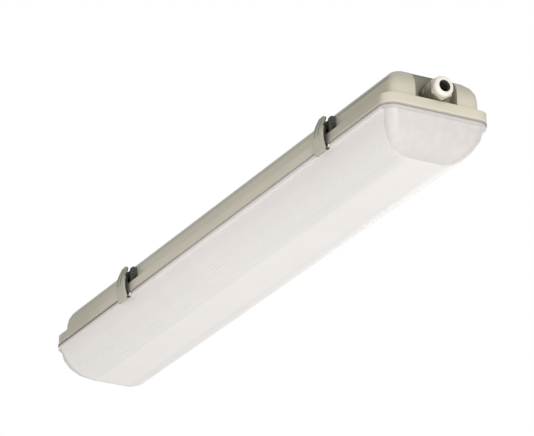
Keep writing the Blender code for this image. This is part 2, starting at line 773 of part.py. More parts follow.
def make_gasket():
    bm = bmesh.new()
    outer = GROOVE_INSET + SEAT_GAP
    inner = GROOVE_INSET + GROOVE_WIDTH - SEAT_GAP
    low = JOINT_Z - JOINT_GAP + SEAT_GAP
    high = JOINT_Z + GROOVE_DEPTH - SEAT_GAP
    corners = ((outer, low), (outer, high), (inner, high), (inner, low))
    loft(bm, [flange_outline(inset, z) for inset, z in corners], closed=True)
    add_object("gasket", bm, "seal_black")


def make_diffuser():
    """The bowl with its rim, and prismatic ribs along the inside that stop short of the smooth ends."""
    bm = bmesh.new()
    rim_top = JOINT_Z - JOINT_GAP
    rim_low = rim_top - RIM_THICKNESS
    inner = dome_outlines(rim_top, -DIFFUSER_DEPTH, DIFFUSER_WALL, BOWL_FORM)
    outer = dome_outlines(rim_low, -DIFFUSER_DEPTH, 0, BOWL_FORM)
    rim = [
        flange_outline(RIM_INSET, rim_top),
        flange_outline(RIM_INSET, rim_low + RIM_CHAMFER_RISE),
        flange_outline(RIM_INSET + RIM_CHAMFER_RUN, rim_low),
    ]
    loft(bm, inner[::-1] + rim + outer)
    diffuser = add_object("diffuser", bm, "clear_diffuser")
    combine(diffuser, diffuser_ribs(inner), "UNION")


def diffuser_ribs(inner):
    """Triangular prisms set along the bowl's inner section at an even pitch."""
    half_section = [(max(y for x, y, z in outline), outline[0][2]) for outline in inner[1:]]
    section = half_section + [(-y, z) for y, z in reversed(half_section)]
    lengths = [math.dist(a, b) for a, b in zip(section, section[1:])]
    count = int(sum(lengths) / RIB_PITCH)
    bm = bmesh.new()
    for rib in range(count):
        along = sum(lengths) * (rib + 1 / 2) / count
        piece = 0
        while along > lengths[piece]:
            along -= lengths[piece]
            piece += 1
        start = Vector(section[piece])
        way = (Vector(section[piece + 1]) - start).normalized()
        inward = Vector((way.y, -way.x))
        foot = start + way * along
        depth_share = (JOINT_Z - foot.y) / DIFFUSER_DEPTH
        reach = HALF_LENGTH - BOWL_END_INSET - RIB_END_MARGIN - RIB_END_RAKE * depth_share
        root = foot - inward * RIB_ROOT
        flank = way * (RIB_WIDTH / 2)
        prism(bm, [root - flank, root + flank, foot + inward * RIB_HEIGHT], -reach, reach)
    return add_object("diffuser_ribs", bm)


def make_gland_washer():
    bm = bmesh.new()
    bore = GLAND_THREAD_RADIUS + SEAT_GAP
    rim = WASHER_RADIUS
    ring = [(WASHER_START, bore), (WASHER_START, rim), (WASHER_END, rim), (WASHER_END, bore)]
    turned(bm, ring, ROUND_SIDES, bored=True)
    add_object("gland_washer", bm, "seal_black", GLAND_CENTRE)


def make_gland_body():
    """A tube with the thread at one end and the collet at the other, and a hexagon between them."""
    thread_end = LOCK_NUT_START - THREAD_STICKOUT
    collet_end = INSERT_START - SEAT_GAP
    profile = [
        (thread_end, GLAND_BORE_RADIUS),
        (thread_end, GLAND_THREAD_RADIUS),
        (BODY_HEX_START, GLAND_THREAD_RADIUS),
        (BODY_HEX_END, GLAND_COLLET_RADIUS),
        (collet_end, GLAND_COLLET_RADIUS),
        (collet_end, GLAND_BORE_RADIUS),
    ]
    bm = bmesh.new()
    turned(bm, profile, ROUND_SIDES, bored=True)
    body = add_object("gland_body", bm, "gland_cream", GLAND_CENTRE)
    collar = hex_collar("gland_body_hex", False, BODY_HEX_START, BODY_HEX_END, GLAND_BORE_RADIUS)
    combine(body, collar, "UNION")


def make_gland_lock_nut():
    bm = bmesh.new()
    prism(bm, hexagon(LOCK_NUT_FLATS, False), LOCK_NUT_START, LOCK_NUT_END)
    lock_nut = add_object("gland_lock_nut", bm, "gland_cream", GLAND_CENTRE)
    combine(lock_nut, gland_cutter("lock_nut_bore", GLAND_THREAD_RADIUS + SEAT_GAP), "DIFFERENCE")


def make_gland_insert():
    """The rubber sleeve that the dome nut squeezes round a cable."""
    outer = NUT_BORE_RADIUS - SEAT_GAP
    bore = outer - GLAND_INSERT_WALL
    bm = bmesh.new()
    ring = [(INSERT_START, bore), (INSERT_START, outer), (INSERT_END, outer), (INSERT_END, bore)]
    turned(bm, ring, ROUND_SIDES, bored=True)
    add_object("gland_insert", bm, "seal_black", GLAND_CENTRE)


def make_gland_nut():
    """A sleeve over the collet, a hexagon, and a domed nose whose lip holds the insert."""
    profile = [(NUT_START, NUT_BORE_RADIUS), (NUT_START, NUT_RADIUS), (NUT_HEX_END, NUT_RADIUS)]
    drop = (NUT_RADIUS - GLAND_MOUTH_RADIUS) * NOSE_DROP_SHARE
    for share in NOSE_SHARES:
        radius = NUT_RADIUS - drop * (1 - math.sqrt(1 - share**2))
        profile.append((NUT_HEX_END + GLAND_NUT_NOSE * share, radius))
    lip = INSERT_END + SEAT_GAP
    profile += [(NUT_END, GLAND_MOUTH_RADIUS), (lip, GLAND_MOUTH_RADIUS), (lip, NUT_BORE_RADIUS)]
    bm = bmesh.new()
    turned(bm, profile, ROUND_SIDES, bored=True)
    nut = add_object("gland_nut", bm, "gland_cream", GLAND_CENTRE)
    combine(nut, hex_collar("gland_nut_hex", True, NUT_HEX_START, NUT_HEX_END, NUT_BORE_RADIUS), "UNION")


def hex_collar(name, vertex_down, start, end, bore_radius):
    """A bored hexagon on the gland's axis."""
    bm = bmesh.new()
    prism(bm, hexagon(GLAND_FLATS, vertex_down), start, end)
    collar = add_object(name, bm, place=GLAND_CENTRE)
    return combine(collar, gland_cutter(name + "_bore", bore_radius), "DIFFERENCE")


def gland_cutter(name, radius):
    """A long cylinder on the gland's axis."""
    bm = bmesh.new()
    ends = (RECESS_WALL_X - RECESS_DEPTH, HALF_LENGTH + RECESS_DEPTH)
    turned(bm, [(x, radius) for x in ends], ROUND_SIDES)
    return add_object(name, bm, place=GLAND_CENTRE)


def make_tray():
    """Pressed tray with sloped lips, and holes for what passes through it."""
    flat = TRAY_HALF_WIDTH - TRAY_LIP_RUN
    lower = [
        (-TRAY_HALF_WIDTH, TRAY_Z - TRAY_LIP_DROP),
        (-flat, TRAY_Z),
        (flat, TRAY_Z),
        (TRAY_HALF_WIDTH, TRAY_Z - TRAY_LIP_DROP),
    ]
    upper = [(y, z + TRAY_THICKNESS) for y, z in reversed(lower)]
    bm = bmesh.new()
    prism(bm, lower + upper, -TRAY_HALF_LENGTH, TRAY_HALF_LENGTH)
    tray = add_object("gear_tray", bm, "white_enamel")
    holes = bmesh.new()
    low = TRAY_Z - OVERRUN
    high = TRAY_TOP_Z + OVERRUN
    for end in (1, -1):
        turned_at(holes, fastener_place(end), low, high, FASTENER_SHANK_RADIUS + SEAT_GAP, SMALL_SIDES)
        screw = (ballast_screw_x(end), 0)
        turned_at(holes, screw, low, high, SCREW_RADIUS + SEAT_GAP, SMALL_SIDES)
        middle = end * (HOLDER_X + HOLDER_THICKNESS / 2)
        reach = HOLDER_NECK_LENGTH / 2 + SEAT_GAP
        across = HOLDER_NECK_WIDTH / 2 + SEAT_GAP
        box(holes, (middle - reach, -across, low), (middle + reach, across, high))
    combine(tray, add_object("tray_holes", holes), "DIFFERENCE")


def make_fasteners():
    """Quarter-turn fasteners: a winged head under the tray and a shank in the housing's boss."""
    for number, end in enumerate((1, -1), start=1):
        bm = bmesh.new()
        head_low = -SEAT_GAP - FASTENER_HEAD_HEIGHT
        shank_top = TRAY_THICKNESS + FASTENER_SHANK_REACH
        profile = [
            (head_low, FASTENER_HEAD_RADIUS * FASTENER_FACE_SHARE),
            (head_low + FASTENER_HEAD_HEIGHT / 2, FASTENER_HEAD_RADIUS),
            (-SEAT_GAP, FASTENER_HEAD_RADIUS),
            (-SEAT_GAP, FASTENER_SHANK_RADIUS),
            (shank_top, FASTENER_SHANK_RADIUS),
        ]
        turned(bm, profile, ROUND_SIDES, axis="Z")
        place = (*fastener_place(end), TRAY_Z)
        fastener = add_object(f"tray_fastener_{number}", bm, "white_plastic", place)
        wing = bmesh.new()
        reach = FASTENER_HEAD_RADIUS * FASTENER_WING_SHARE
        half = FASTENER_WING_THICKNESS / 2
        wing_top = head_low + FASTENER_HEAD_HEIGHT * FASTENER_WING_SHARE
        box(wing, (-reach, -half, head_low - FASTENER_WING), (reach, half, wing_top))
        combine(fastener, add_object(f"fastener_wing_{number}", wing, place=place), "UNION")


def make_lampholder(name, end):
    """A push-through holder: head above the tray, neck through it, round body below with the rotor's seat."""
    start = end * HOLDER_X
    stop = end * (HOLDER_X + HOLDER_THICKNESS)
    xs = sorted((start, stop))
    top = TRAY_Z - SEAT_GAP
    half = HOLDER_SHOULDER_WIDTH / 2
    lean = math.asin(half / HOLDER_RADIUS)
    outline = [(half, top)]
    for step in range(HOLDER_STEPS + 1):
        angle = math.pi / 2 - lean - (math.pi * 2 - 2 * lean) * step / HOLDER_STEPS
        outline.append((HOLDER_RADIUS * math.cos(angle), LAMP_Z + HOLDER_RADIUS * math.sin(angle)))
    outline.append((-half, top))
    bm = bmesh.new()
    prism(bm, outline, *xs)
    holder = add_object(name, bm, "white_plastic")
    middle = (start + stop) / 2
    neck = bmesh.new()
    reach = HOLDER_NECK_LENGTH / 2
    across = HOLDER_NECK_WIDTH / 2
    head_top = GEAR_Z + HOLDER_HEAD_HEIGHT
    box(neck, (middle - reach, -across, top - OVERRUN), (middle + reach, across, head_top))
    combine(holder, add_object(name + "_neck", neck), "UNION")
    head = bmesh.new()
    reach += HOLDER_HEAD_MARGIN
    across += HOLDER_HEAD_MARGIN
    box(head, (middle - reach, -across, GEAR_Z), (middle + reach, across, head_top))
    combine(holder, add_object(name + "_head", head), "UNION")
    seat = bmesh.new()
    radius = ROTOR_RADIUS + SEAT_GAP
    floor = end * (HOLDER_X + ROTOR_LENGTH + SEAT_GAP)
    mouth = end * (HOLDER_X - OVERRUN)
    turned(seat, [(floor, radius), (mouth, radius)], ROUND_SIDES, centre=(0, 0, LAMP_Z))
    combine(holder, add_object(name + "_seat", seat), "DIFFERENCE")
    slot = bmesh.new()
    half_slot = ROTOR_SLOT / 2
    xs = sorted((floor, mouth))
    box(slot, (xs[0], -half_slot, LAMP_Z - HOLDER_RADIUS - OVERRUN), (xs[1], half_slot, LAMP_Z))
    combine(holder, add_object(name + "_slot", slot), "DIFFERENCE")


def make_rotor(name, end):
    """The rotor turns with the lamp's contacts, which lie in its slot."""
    centre = (0, 0, LAMP_Z)
    xs = sorted((end * HOLDER_X, end * (HOLDER_X + ROTOR_LENGTH)))
    bm = bmesh.new()
    turned(bm, [(xs[0], ROTOR_RADIUS), (xs[1], ROTOR_RADIUS)], ROUND_SIDES)
    rotor = add_object(name, bm, "white_plastic", centre)
    slot = bmesh.new()
    depth = LAMP_HALF + CONTACT_LENGTH + SEAT_GAP
    xs = sorted((end * (HOLDER_X - OVERRUN), end * depth))
    reach = ROTOR_RADIUS + OVERRUN
    box(slot, (xs[0], -reach, -ROTOR_SLOT / 2), (xs[1], reach, ROTOR_SLOT / 2))
    combine(rotor, add_object(name + "_slot", slot, place=centre), "DIFFERENCE")


def make_lamp():
    """Glass tube, a metal cap on each end, and two contacts in each cap."""
    centre = (0, 0, LAMP_Z)
    cap_bore = LAMP_RADIUS - CAP_WALL
    glass_end = LAMP_HALF - CAP_PLATE - SEAT_GAP
    outer = cap_bore - SEAT_GAP
    inner = outer - LAMP_GLASS
    bm = bmesh.new()
    ring = [(-glass_end, inner), (-glass_end, outer), (glass_end, outer), (glass_end, inner)]
    turned(bm, ring, ROUND_SIDES, bored=True)
    add_object("lamp_tube", bm, "lamp_glass", centre)
    for end, where in ((1, "cable_end"), (-1, "blind_end")):
        bm = bmesh.new()
        profile = [
            (end * LAMP_HALF, LAMP_RADIUS * CAP_FACE_SHARE),
            (end * (LAMP_HALF - CAP_WALL), LAMP_RADIUS),
            (end * (LAMP_HALF - CAP_SKIRT), LAMP_RADIUS),
            (end * (LAMP_HALF - CAP_SKIRT), cap_bore),
            (end * (LAMP_HALF - CAP_PLATE), cap_bore),
        ]
        turned(bm, profile, ROUND_SIDES)
        add_object(f"lamp_cap_{where}", bm, "aluminium", centre)
        for side, hand in ((-1, "front"), (1, "back")):
            bm = bmesh.new()
            ends = (end * (LAMP_HALF + SEAT_GAP), end * (LAMP_HALF + CONTACT_LENGTH))
            offset = (0, side * CONTACT_PITCH / 2, 0)
            turned(bm, [(along, CONTACT_RADIUS) for along in ends], SMALL_SIDES, centre=offset)
            add_object(f"lamp_contact_{hand}_{where}", bm, "brass", centre)


def ballast_screw_x(end):
    return BALLAST_SHIFT + end * (BALLAST_LENGTH / 2 + BALLAST_FOOT_LENGTH / 2)


def make_ballast():
    """Slim box with a foot and a screw at each end, and sockets for its wires."""
    half = BALLAST_LENGTH / 2
    across = BALLAST_WIDTH / 2
    bm = bmesh.new()
    box(bm, (-half, -across, GEAR_Z), (half, across, GEAR_Z + BALLAST_HEIGHT))
    bmesh.ops.translate(bm, verts=bm.verts, vec=(BALLAST_SHIFT, 0, 0))
    ballast = soften(add_object("ballast", bm, "gear_white"), BALLAST_EDGE)
    feet = bmesh.new()
    reach = half + BALLAST_FOOT_LENGTH
    low = (BALLAST_SHIFT - reach, -across / 2, GEAR_Z)
    box(feet, low, (BALLAST_SHIFT + reach, across / 2, GEAR_Z + BALLAST_FOOT_HEIGHT))
    combine(ballast, add_object("ballast_feet", feet), "UNION")
    holes = bmesh.new()
    for end in (1, -1):
        screw = (ballast_screw_x(end), 0)
        foot_top = GEAR_Z + BALLAST_FOOT_HEIGHT
        turned_at(holes, screw, TRAY_Z, foot_top + OVERRUN, SCREW_RADIUS + SEAT_GAP, SMALL_SIDES)
        for y in wire_lanes(3 if end > 0 else 4):
            face = BALLAST_SHIFT + end * half
            ends = (face - end * BALLAST_SOCKET_DEPTH, face + end * OVERRUN)
            profile = [(x, BALLAST_SOCKET_RADIUS) for x in ends]
            turned(holes, profile, SMALL_SIDES, centre=(0, y, wire_z()))
    combine(ballast, add_object("ballast_holes", holes), "DIFFERENCE")
    for number, end in enumerate((1, -1), start=1):
        bm = bmesh.new()
        seat = BALLAST_FOOT_HEIGHT + SEAT_GAP
        profile = [
            (TRAY_Z - SCREW_REACH - GEAR_Z, SCREW_RADIUS),
            (seat, SCREW_RADIUS),
            (seat, SCREW_HEAD_RADIUS),
            (seat + SCREW_HEAD_HEIGHT * SCREW_CROWN_SHARE, SCREW_HEAD_RADIUS),
            (seat + SCREW_HEAD_HEIGHT, SCREW_HEAD_RADIUS * SCREW_CROWN_SHARE),
        ]
        turned(bm, profile, SMALL_SIDES, axis="Z")
        add_object(f"ballast_screw_{number}", bm, "steel", (ballast_screw_x(end), 0, GEAR_Z))


def wire_z():
    """Height of the wires where they enter the ballast and the terminal block."""
    return GEAR_Z + BALLAST_HEIGHT / 2


def wire_lanes(count):
    return [WIRE_PITCH * (lane - (count - 1) / 2) for lane in range(count)]


def make_terminal_block():
    """Mains terminal block: a stepped body with a wire port for each lane on both sides."""
    across = TERMINAL_WIDTH / 2
    bm = bmesh.new()
    low = GEAR_Z
    step = TERMINAL_STEP
    high = low + TERMINAL_HEIGHT
    half = TERMINAL_LENGTH / 2
    box(bm, (-half, -across, low), (half, across, high - step))
    block = add_object("terminal_block", bm, "white_plastic", (TERMINAL_X, 0, 0))
    crown = bmesh.new()
    box(crown, (step - half, -across, low), (half - step, across, high))
    combine(block, add_object("terminal_crown", crown, place=(TERMINAL_X, 0, 0)), "UNION")
    ports = bmesh.new()
    for y in wire_lanes(3):
        lane = y * MAINS_SPREAD_SHARE
        port = TERMINAL_PORT / 2
        middle = low + (TERMINAL_HEIGHT - step) / 2
        for end in (1, -1):
            xs = sorted((end * (half - step), end * (half + OVERRUN)))
            box(ports, (xs[0], lane - port, middle - port), (xs[1], lane + port, middle + port))
    combine(block, add_object("terminal_ports", ports, place=(TERMINAL_X, 0, 0)), "DIFFERENCE")


def make_wire(name, finish, points, steps=3):
    """A wire along a smooth route, as a tube with filled ends."""
    route = smooth_route(points, steps)
    curve = bpy.data.curves.new(name, "CURVE")
    curve.dimensions = "3D"
    curve.bevel_depth = WIRE_RADIUS
    curve.bevel_resolution = 1
    curve.use_fill_caps = True
    spline = curve.splines.new("POLY")
    spline.points.add(len(route) - 1)
    for point, place in zip(spline.points, route):
        point.co = (*place, 1)
    curve.materials.append(finish_material(finish))
    wire = bpy.data.objects.new(name, curve)
    bpy.context.scene.collection.objects.link(wire)


def make_mains_wires():
    """Three wires from the terminal block's ports to the ballast's sockets."""
    ballast_face = BALLAST_SHIFT + BALLAST_LENGTH / 2 - BALLAST_SOCKET_DEPTH + SEAT_GAP
    block_face = TERMINAL_X - TERMINAL_LENGTH / 2 + TERMINAL_STEP - SEAT_GAP
    port_z = GEAR_Z + (TERMINAL_HEIGHT - TERMINAL_STEP) / 2
    run = block_face - ballast_face
    rise = wire_z() - port_z
    names = (("wire_live", "wire_brown"), ("wire_earth", "wire_green"), ("wire_neutral", "wire_blue"))
    for (name, finish), y in zip(names, wire_lanes(3)):
        spread = y * MAINS_SPREAD_SHARE - y
        points = [(block_face, y + spread, port_z)]
        for run_share, spread_share, rise_share in MAINS_SHARES:
            x = block_face - run * run_share
            points.append((x, y + spread * spread_share, port_z + rise * rise_share))
        points.append((ballast_face, y, wire_z()))
        make_wire(name, finish, points)


def lead_ends():
    """Where the lamp's leads leave the ballast, and how high they enter the lampholders."""
    far_face = BALLAST_SHIFT - BALLAST_LENGTH / 2 + BALLAST_SOCKET_DEPTH - SEAT_GAP
    holder_x = HOLDER_X + HOLDER_THICKNESS / 2
    holder_top = GEAR_Z + HOLDER_HEAD_HEIGHT + SEAT_GAP
    return far_face, holder_x, holder_top


def make_blind_end_leads():
    far_face, holder_x, holder_top = lead_ends()
    run = far_face + holder_x
    for number, y in enumerate(wire_lanes(4)[2:], start=1):
        points = [(far_face, y, wire_z())]
        for run_share, climb_share in BLIND_SHARES:
            points.append((far_face - run * run_share, y, wire_z() + WIRE_CLIMB * climb_share))
        points += [(-holder_x, y, holder_top + WIRE_DROP), (-holder_x, y, holder_top)]
        make_wire(f"lead_blind_end_{number}", "wire_white", points)


def make_cable_end_leads():
    """Two leads that turn back side by side past the ballast and the terminal block."""
    far_face, holder_x, holder_top = lead_ends()
    side = max(BALLAST_WIDTH, TERMINAL_WIDTH) / 2 + LEAD_SIDE
    last_x = holder_x - LEAD_REACH * LEAD_DROP_SHARE
    for number, y in enumerate(wire_lanes(4)[:2]):
        lane_y = -side - LEAD_PITCH * number
        last_y = LEAD_SPREAD - 2 * LEAD_SPREAD * number
        turn = far_face - LEAD_TURN - WIRE_PITCH * number
        points = [(far_face, y, wire_z()), (turn + LEAD_TURN / 2, y, wire_z())]
        points += [(turn, (y + lane_y) / 2, wire_z()), (turn + LEAD_TURN / 2, lane_y, wire_z())]
        for x in (far_face, TERMINAL_X, TERMINAL_X + TERMINAL_LENGTH / 2):
            points.append((x, lane_y, wire_z()))
        for reach_share, y_share, up_share in LEAD_END_SHARES:
            up = holder_top + (wire_z() - holder_top) * up_share
            across = lane_y + (last_y - lane_y) * y_share
            points.append((holder_x - LEAD_REACH * reach_share, across, up))
        points += [(last_x, last_y, holder_top + WIRE_DROP), (last_x, last_y, holder_top)]
        make_wire(f"lead_cable_end_{number + 1}", "wire_white", points)


def make_fixing_seals():
    """Rubber caps that close the fixing holes from inside."""
    stem = FIXING_HOLE_RADIUS - SEAT_GAP
    below = -HOUSING_WALL - SEAT_GAP
    low = below - FIXING_SEAL_THICKNESS
    for number, end in enumerate((1, -1), start=1):
        bm = bmesh.new()
        profile = [
            (low, FIXING_SEAL_RADIUS * SEAL_CROWN_SHARE),
            (low + FIXING_SEAL_THICKNESS / 2, FIXING_SEAL_RADIUS),
            (below, FIXING_SEAL_RADIUS),
            (below, stem),
            (-SEAT_GAP, stem),
        ]
        turned(bm, profile, SMALL_SIDES, axis="Z")
        add_object(f"fixing_seal_{number}", bm, "seal_black", (*fixing_place(end), 0))


def main():
    clear_scene()
    make_housing()
    make_gasket()
    make_diffuser()
    make_clips()
    make_gland_washer()
    make_gland_body()
    make_gland_lock_nut()
    make_gland_insert()
    make_gland_nut()
    make_tray()
    make_fasteners()
    for end, where in ((1, "cable_end"), (-1, "blind_end")):
        make_lampholder(f"lampholder_{where}", end)
        make_rotor(f"rotor_{where}", end)
    make_lamp()
    make_ballast()
    make_terminal_block()
    make_mains_wires()
    make_blind_end_leads()
    make_cable_end_leads()
    make_fixing_seals()


main()
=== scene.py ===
import json
import math

import bpy
from mathutils import Matrix, Vector


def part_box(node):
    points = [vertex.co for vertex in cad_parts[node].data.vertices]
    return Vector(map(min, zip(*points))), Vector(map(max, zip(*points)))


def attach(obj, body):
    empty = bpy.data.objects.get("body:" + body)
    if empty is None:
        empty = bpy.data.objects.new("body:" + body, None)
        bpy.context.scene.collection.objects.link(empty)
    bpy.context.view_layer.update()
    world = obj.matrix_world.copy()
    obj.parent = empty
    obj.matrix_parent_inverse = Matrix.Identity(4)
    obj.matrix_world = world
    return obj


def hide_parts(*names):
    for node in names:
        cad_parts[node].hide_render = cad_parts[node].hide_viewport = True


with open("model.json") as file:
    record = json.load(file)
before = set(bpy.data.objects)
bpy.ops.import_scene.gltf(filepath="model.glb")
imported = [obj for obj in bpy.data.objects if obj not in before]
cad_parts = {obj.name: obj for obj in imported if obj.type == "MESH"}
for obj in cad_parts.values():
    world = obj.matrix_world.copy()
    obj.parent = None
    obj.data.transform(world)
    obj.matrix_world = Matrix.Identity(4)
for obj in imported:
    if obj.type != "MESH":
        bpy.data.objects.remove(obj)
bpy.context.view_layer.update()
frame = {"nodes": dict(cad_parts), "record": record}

bpy.ops.object.select_all(action="DESELECT")

# Sizes and places read from the frame, in metres
record = frame["record"]
housing_low, housing_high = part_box("housing")
bowl_low, bowl_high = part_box("diffuser")
gasket_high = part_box("gasket")[1]
nut_low, nut_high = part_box("gland_nut")
insert_low, insert_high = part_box("gland_insert")
pin_low, pin_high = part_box("clip_pin_front_cable_end")
near_clip_low, near_clip_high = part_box("clip_front_cable_end")
far_clip_low, far_clip_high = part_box("clip_front_blind_end")
JOINT_Z = housing_low.z
HALF_LENGTH = housing_high.x
HALF_WIDTH = housing_high.y
RIM_TOP_Z = bowl_high.z
BOWL_Z = bowl_low.z
GLAND_Z = (nut_low.z + nut_high.z) / 2
HEX_RADIUS = (nut_high.z - nut_low.z) / 2
NUT_RADIUS = nut_high.y
SEAL_RADIUS = insert_high.y
PIN_OUT = -(pin_low.y + pin_high.y) / 2
CLIP_HALF = (near_clip_high.x - near_clip_low.x) / 2
CLIPS_CENTRE = (near_clip_low.x + far_clip_high.x) / 2
CLIPS_SPREAD = (near_clip_low.x - far_clip_low.x) / 2
BODY_OF = {node: body for body, nodes in record["behaviour"]["bodies"].items() for node in nodes}
SLOT_OF = {part["node"]: part["material_slot"] for part in record["subparts"]}
CLIP_ENDS = ("cable_end", "blind_end")
CLIP_HANDS = ("front", "back")

# Camera, as in the photograph
PHOTO_WIDTH = 534
HALF_PIXEL = 0.5 / PHOTO_WIDTH
CAMERA_PLACE = Vector((2.7556, -1.3889, -1.2825))
CAMERA_RIGHT = Vector((0.45608, 0.88990, 0.00899))
CAMERA_UP = Vector((0.33450, -0.18078, 0.92490))
CAMERA_LENS = 251.62
CAMERA_SENSOR = 36.0
CAMERA_REACH = 100.0

# Room, and its lights: name, place, size and power
ROOM_FLOOR_Z = -1.75
ROOM_FLOOR_SIZE = 14.0
WORLD_STRENGTH = 0.5
LIGHTS = (
    ("key_light", (2.5, -0.35, -0.95), 1.6, 38.0),
    ("side_light", (-0.6, -2.6, -0.9), 1.8, 9.0),
    ("under_light", (0.0, -0.5, -1.7), 1.8, 14.0),
    ("back_light", (-1.6, 2.3, -0.6), 1.8, 20.0),
    ("top_light", (0.3, -0.2, 2.4), 2.0, 9.0),
)

# Mesh work
ROUND_STEPS = 64
SMOOTH_ANGLE = math.radians(32)
SHARP_ANGLE = math.radians(28)
FLAT_ANGLE = math.radians(0.6)
MERGE_DISTANCE = 0.000002
NEAR = 0.0002
SKIN_GAP = 0.00005

# Canopy: its flange, ledge, sides and recesses
FLANGE_TOP_Z = JOINT_Z + 0.010
LEDGE_TOP_Z = FLANGE_TOP_Z + 0.0015
LEDGE_INSET = 0.003
FLANGE_CORNER = 0.012
FLANGE_EDGE_INSET = 0.0008
BODY_SIDE = HALF_WIDTH - 0.0076
RECESS_WALL = HALF_LENGTH - 0.017
RECESS_HALF = 0.0196
RECESS_TOP_Z = JOINT_Z / 4
FLANGE_ROUND = 0.0013
LEDGE_ROUND = 0.0016
RECESS_ROUND = 0.0014

# Diffuser: its flat floor, elliptical shoulders, ribs and rim
FLOOR_HALF = 0.0166
SHOULDER_WIDE = 0.027
SHOULDER_TALL = 0.0315
RIB_PITCH = 0.0027
RIB_STOP = HALF_LENGTH - 0.0095
RIB_RAKE = 0.476
BOWL_WIDER = 0.003
RIM_LOW_Z = RIM_TOP_Z - 0.003
RIM_SETBACK = 0.0002
RIM_WIDTH = 0.0022
RIM_ROUND = 0.00035
RIM_FOOT_INSET = 0.003
RIM_FOOT_WIDER = 0.0009
LUG_FROM_CLIP = 0.0104
LUG_SIZE = (0.002, 0.0014, 0.0022)
LUG_ROUND = 0.0004

# Gasket's lip, which shows along the joint
LIP_THICKNESS = 0.0006
LIP_SETBACK = 0.0003
LIP_CORNER = 0.0113
LIP_STEPS = 8

# Clips. Each corner of the tongue's top has a radius, a drop below the tip and the angles of its cuts
TONGUE_HALF = 0.0062
TONGUE_CORNERS = ((0.009, 0.0, (10, 20, 26)), (0.0024, 0.0031, (48, 70)))
TONGUE_SLOPE = 0.29
GROOVE_NEAR = 0.0015
GROOVE_FAR = 0.0043
GROOVE_MIDDLE = (GROOVE_NEAR + GROOVE_FAR) / 2
GROOVE_HALF = (GROOVE_FAR - GROOVE_NEAR) / 2
GROOVE_DEPTH = 0.0003
GROOVE_LOW_Z = JOINT_Z + 0.0075
GROOVE_BELOW_TIP = 0.0022
GROOVE_FACING = 0.6
SHOULDER_Z = -0.018
ARM_OUT = 0.0047
ARM_LOW_Z = -0.0255
TOE_OUT = 0.0053
TOE_Z = -0.0436
SPRING_LOW_Z = JOINT_Z - 0.002
SPRING_HIGH_Z = JOINT_Z + 0.0185
SPRING_THICKNESS = 0.0024
SPRING_SHARE = 0.9
SPRING_FACING = 0.7
CLIP_ROUND = 0.0003
BRACKET_ROUND = 0.00025
PIN_ROUND = 0.0002

# Gland: its nut, hexagon and rubber insert
NUT_WIDE = NUT_RADIUS + 0.0001
NUT_CHAMFER = 0.0005
NUT_BORE = 0.0079
NUT_LIP = 0.0012
MOUTH_RADIUS = 0.0052
MOUTH_ROUND = 0.0007
NOSE_LENGTH = 0.0056
NOSE_RADIUS = 0.0064
NOSE_STEPS = 10
HEX_START = nut_low.x + 0.0098
HEX_LENGTH = 0.0034
HEX_ROUND = 0.0004
BORE_OVERRUN = 0.002
SEAL_BORE = 0.0044
SEAL_SLEEVE = 0.0052
SEAL_FLARE = SEAL_SLEEVE + 0.0006
SEAL_FLARE_DEPTH = 0.0018
SEAL_DEPTH = 0.018

# Ballast screws: a slot's length, width and depth
SCREW_SLOT = (0.0044, 0.0009, 0.0014)

# Heights between which the finishes change
# The side, top, shoulder and clip ranges bound painted shade; the rib range fades the diffuser's rib lines
SIDE_FADE = (-0.026, -0.008)
TOP_FADE = (-0.006, -0.001)
SHOULDER_SHADE = (-0.0146, -0.0118)
CLIP_FADE = (-0.034, -0.02)
RIB_FADE = (-0.066, -0.056)

# Lengths towards the cable end between which the finishes change
# The blind-end, cable-end, joint and bowl ranges bound painted shade; the lamp range darkens the tube's own
# ends
BLIND_END_SHADE = (-0.29, -0.18)
CABLE_END_SHADE = (0.19, 0.27)
JOINT_SHADE_FADES = (-0.2, -0.03)
BOWL_GREYS = (-0.05, 0.3)
LAMP_END = (0.262, 0.288)

# How far the edges are rounded on the nodes that keep their own shape
ROUNDED = {
    "gland_body": 0.0003,
    "gland_washer": 0.0003,
    "gland_lock_nut": 0.0004,
    "tray_fastener_1": 0.0003,
    "tray_fastener_2": 0.0003,
    "lampholder_cable_end": 0.0004,
    "lampholder_blind_end": 0.0004,
    "rotor_cable_end": 0.00025,
    "rotor_blind_end": 0.00025,
    "lamp_cap_cable_end": 0.0004,
    "lamp_cap_blind_end": 0.0004,
    "gear_tray": 0.0003,
    "ballast": 0.0003,
    "terminal_block": 0.0003,
    "fixing_seal_1": 0.0004,
    "fixing_seal_2": 0.0004,
}

# The first words of the nodes that have their own functions here
OWN_SHAPES = (
    "housing",
    "gasket",
    "diffuser",
    "clip",
    "bracket",
    "gland_nut",
    "gland_insert",
    "ballast_screw",
)


class Value:
    """A shader number that can be added, scaled and compared. Each step is one Math node."""

    def __init__(self, nodes, socket):
        self.nodes = nodes
        self.socket = socket

    def step(self, operation, first, second):
        return self.nodes.node("ShaderNodeMath", {"operation": operation}, {0: first, 1: second})

    def __add__(self, other):
        return self.step("ADD", self, other)

    def __radd__(self, other):
        return self.step("ADD", other, self)

    def __sub__(self, other):
        return self.step("SUBTRACT", self, other)

    def __rsub__(self, other):
        return self.step("SUBTRACT", other, self)

    def __mul__(self, other):
        return self.step("MULTIPLY", self, other)

    def __rmul__(self, other):
        return self.step("MULTIPLY", other, self)

    def __or__(self, other):
        return self.step("MAXIMUM", self, other)

    def __abs__(self):
        return self.step("ABSOLUTE", self, 0)


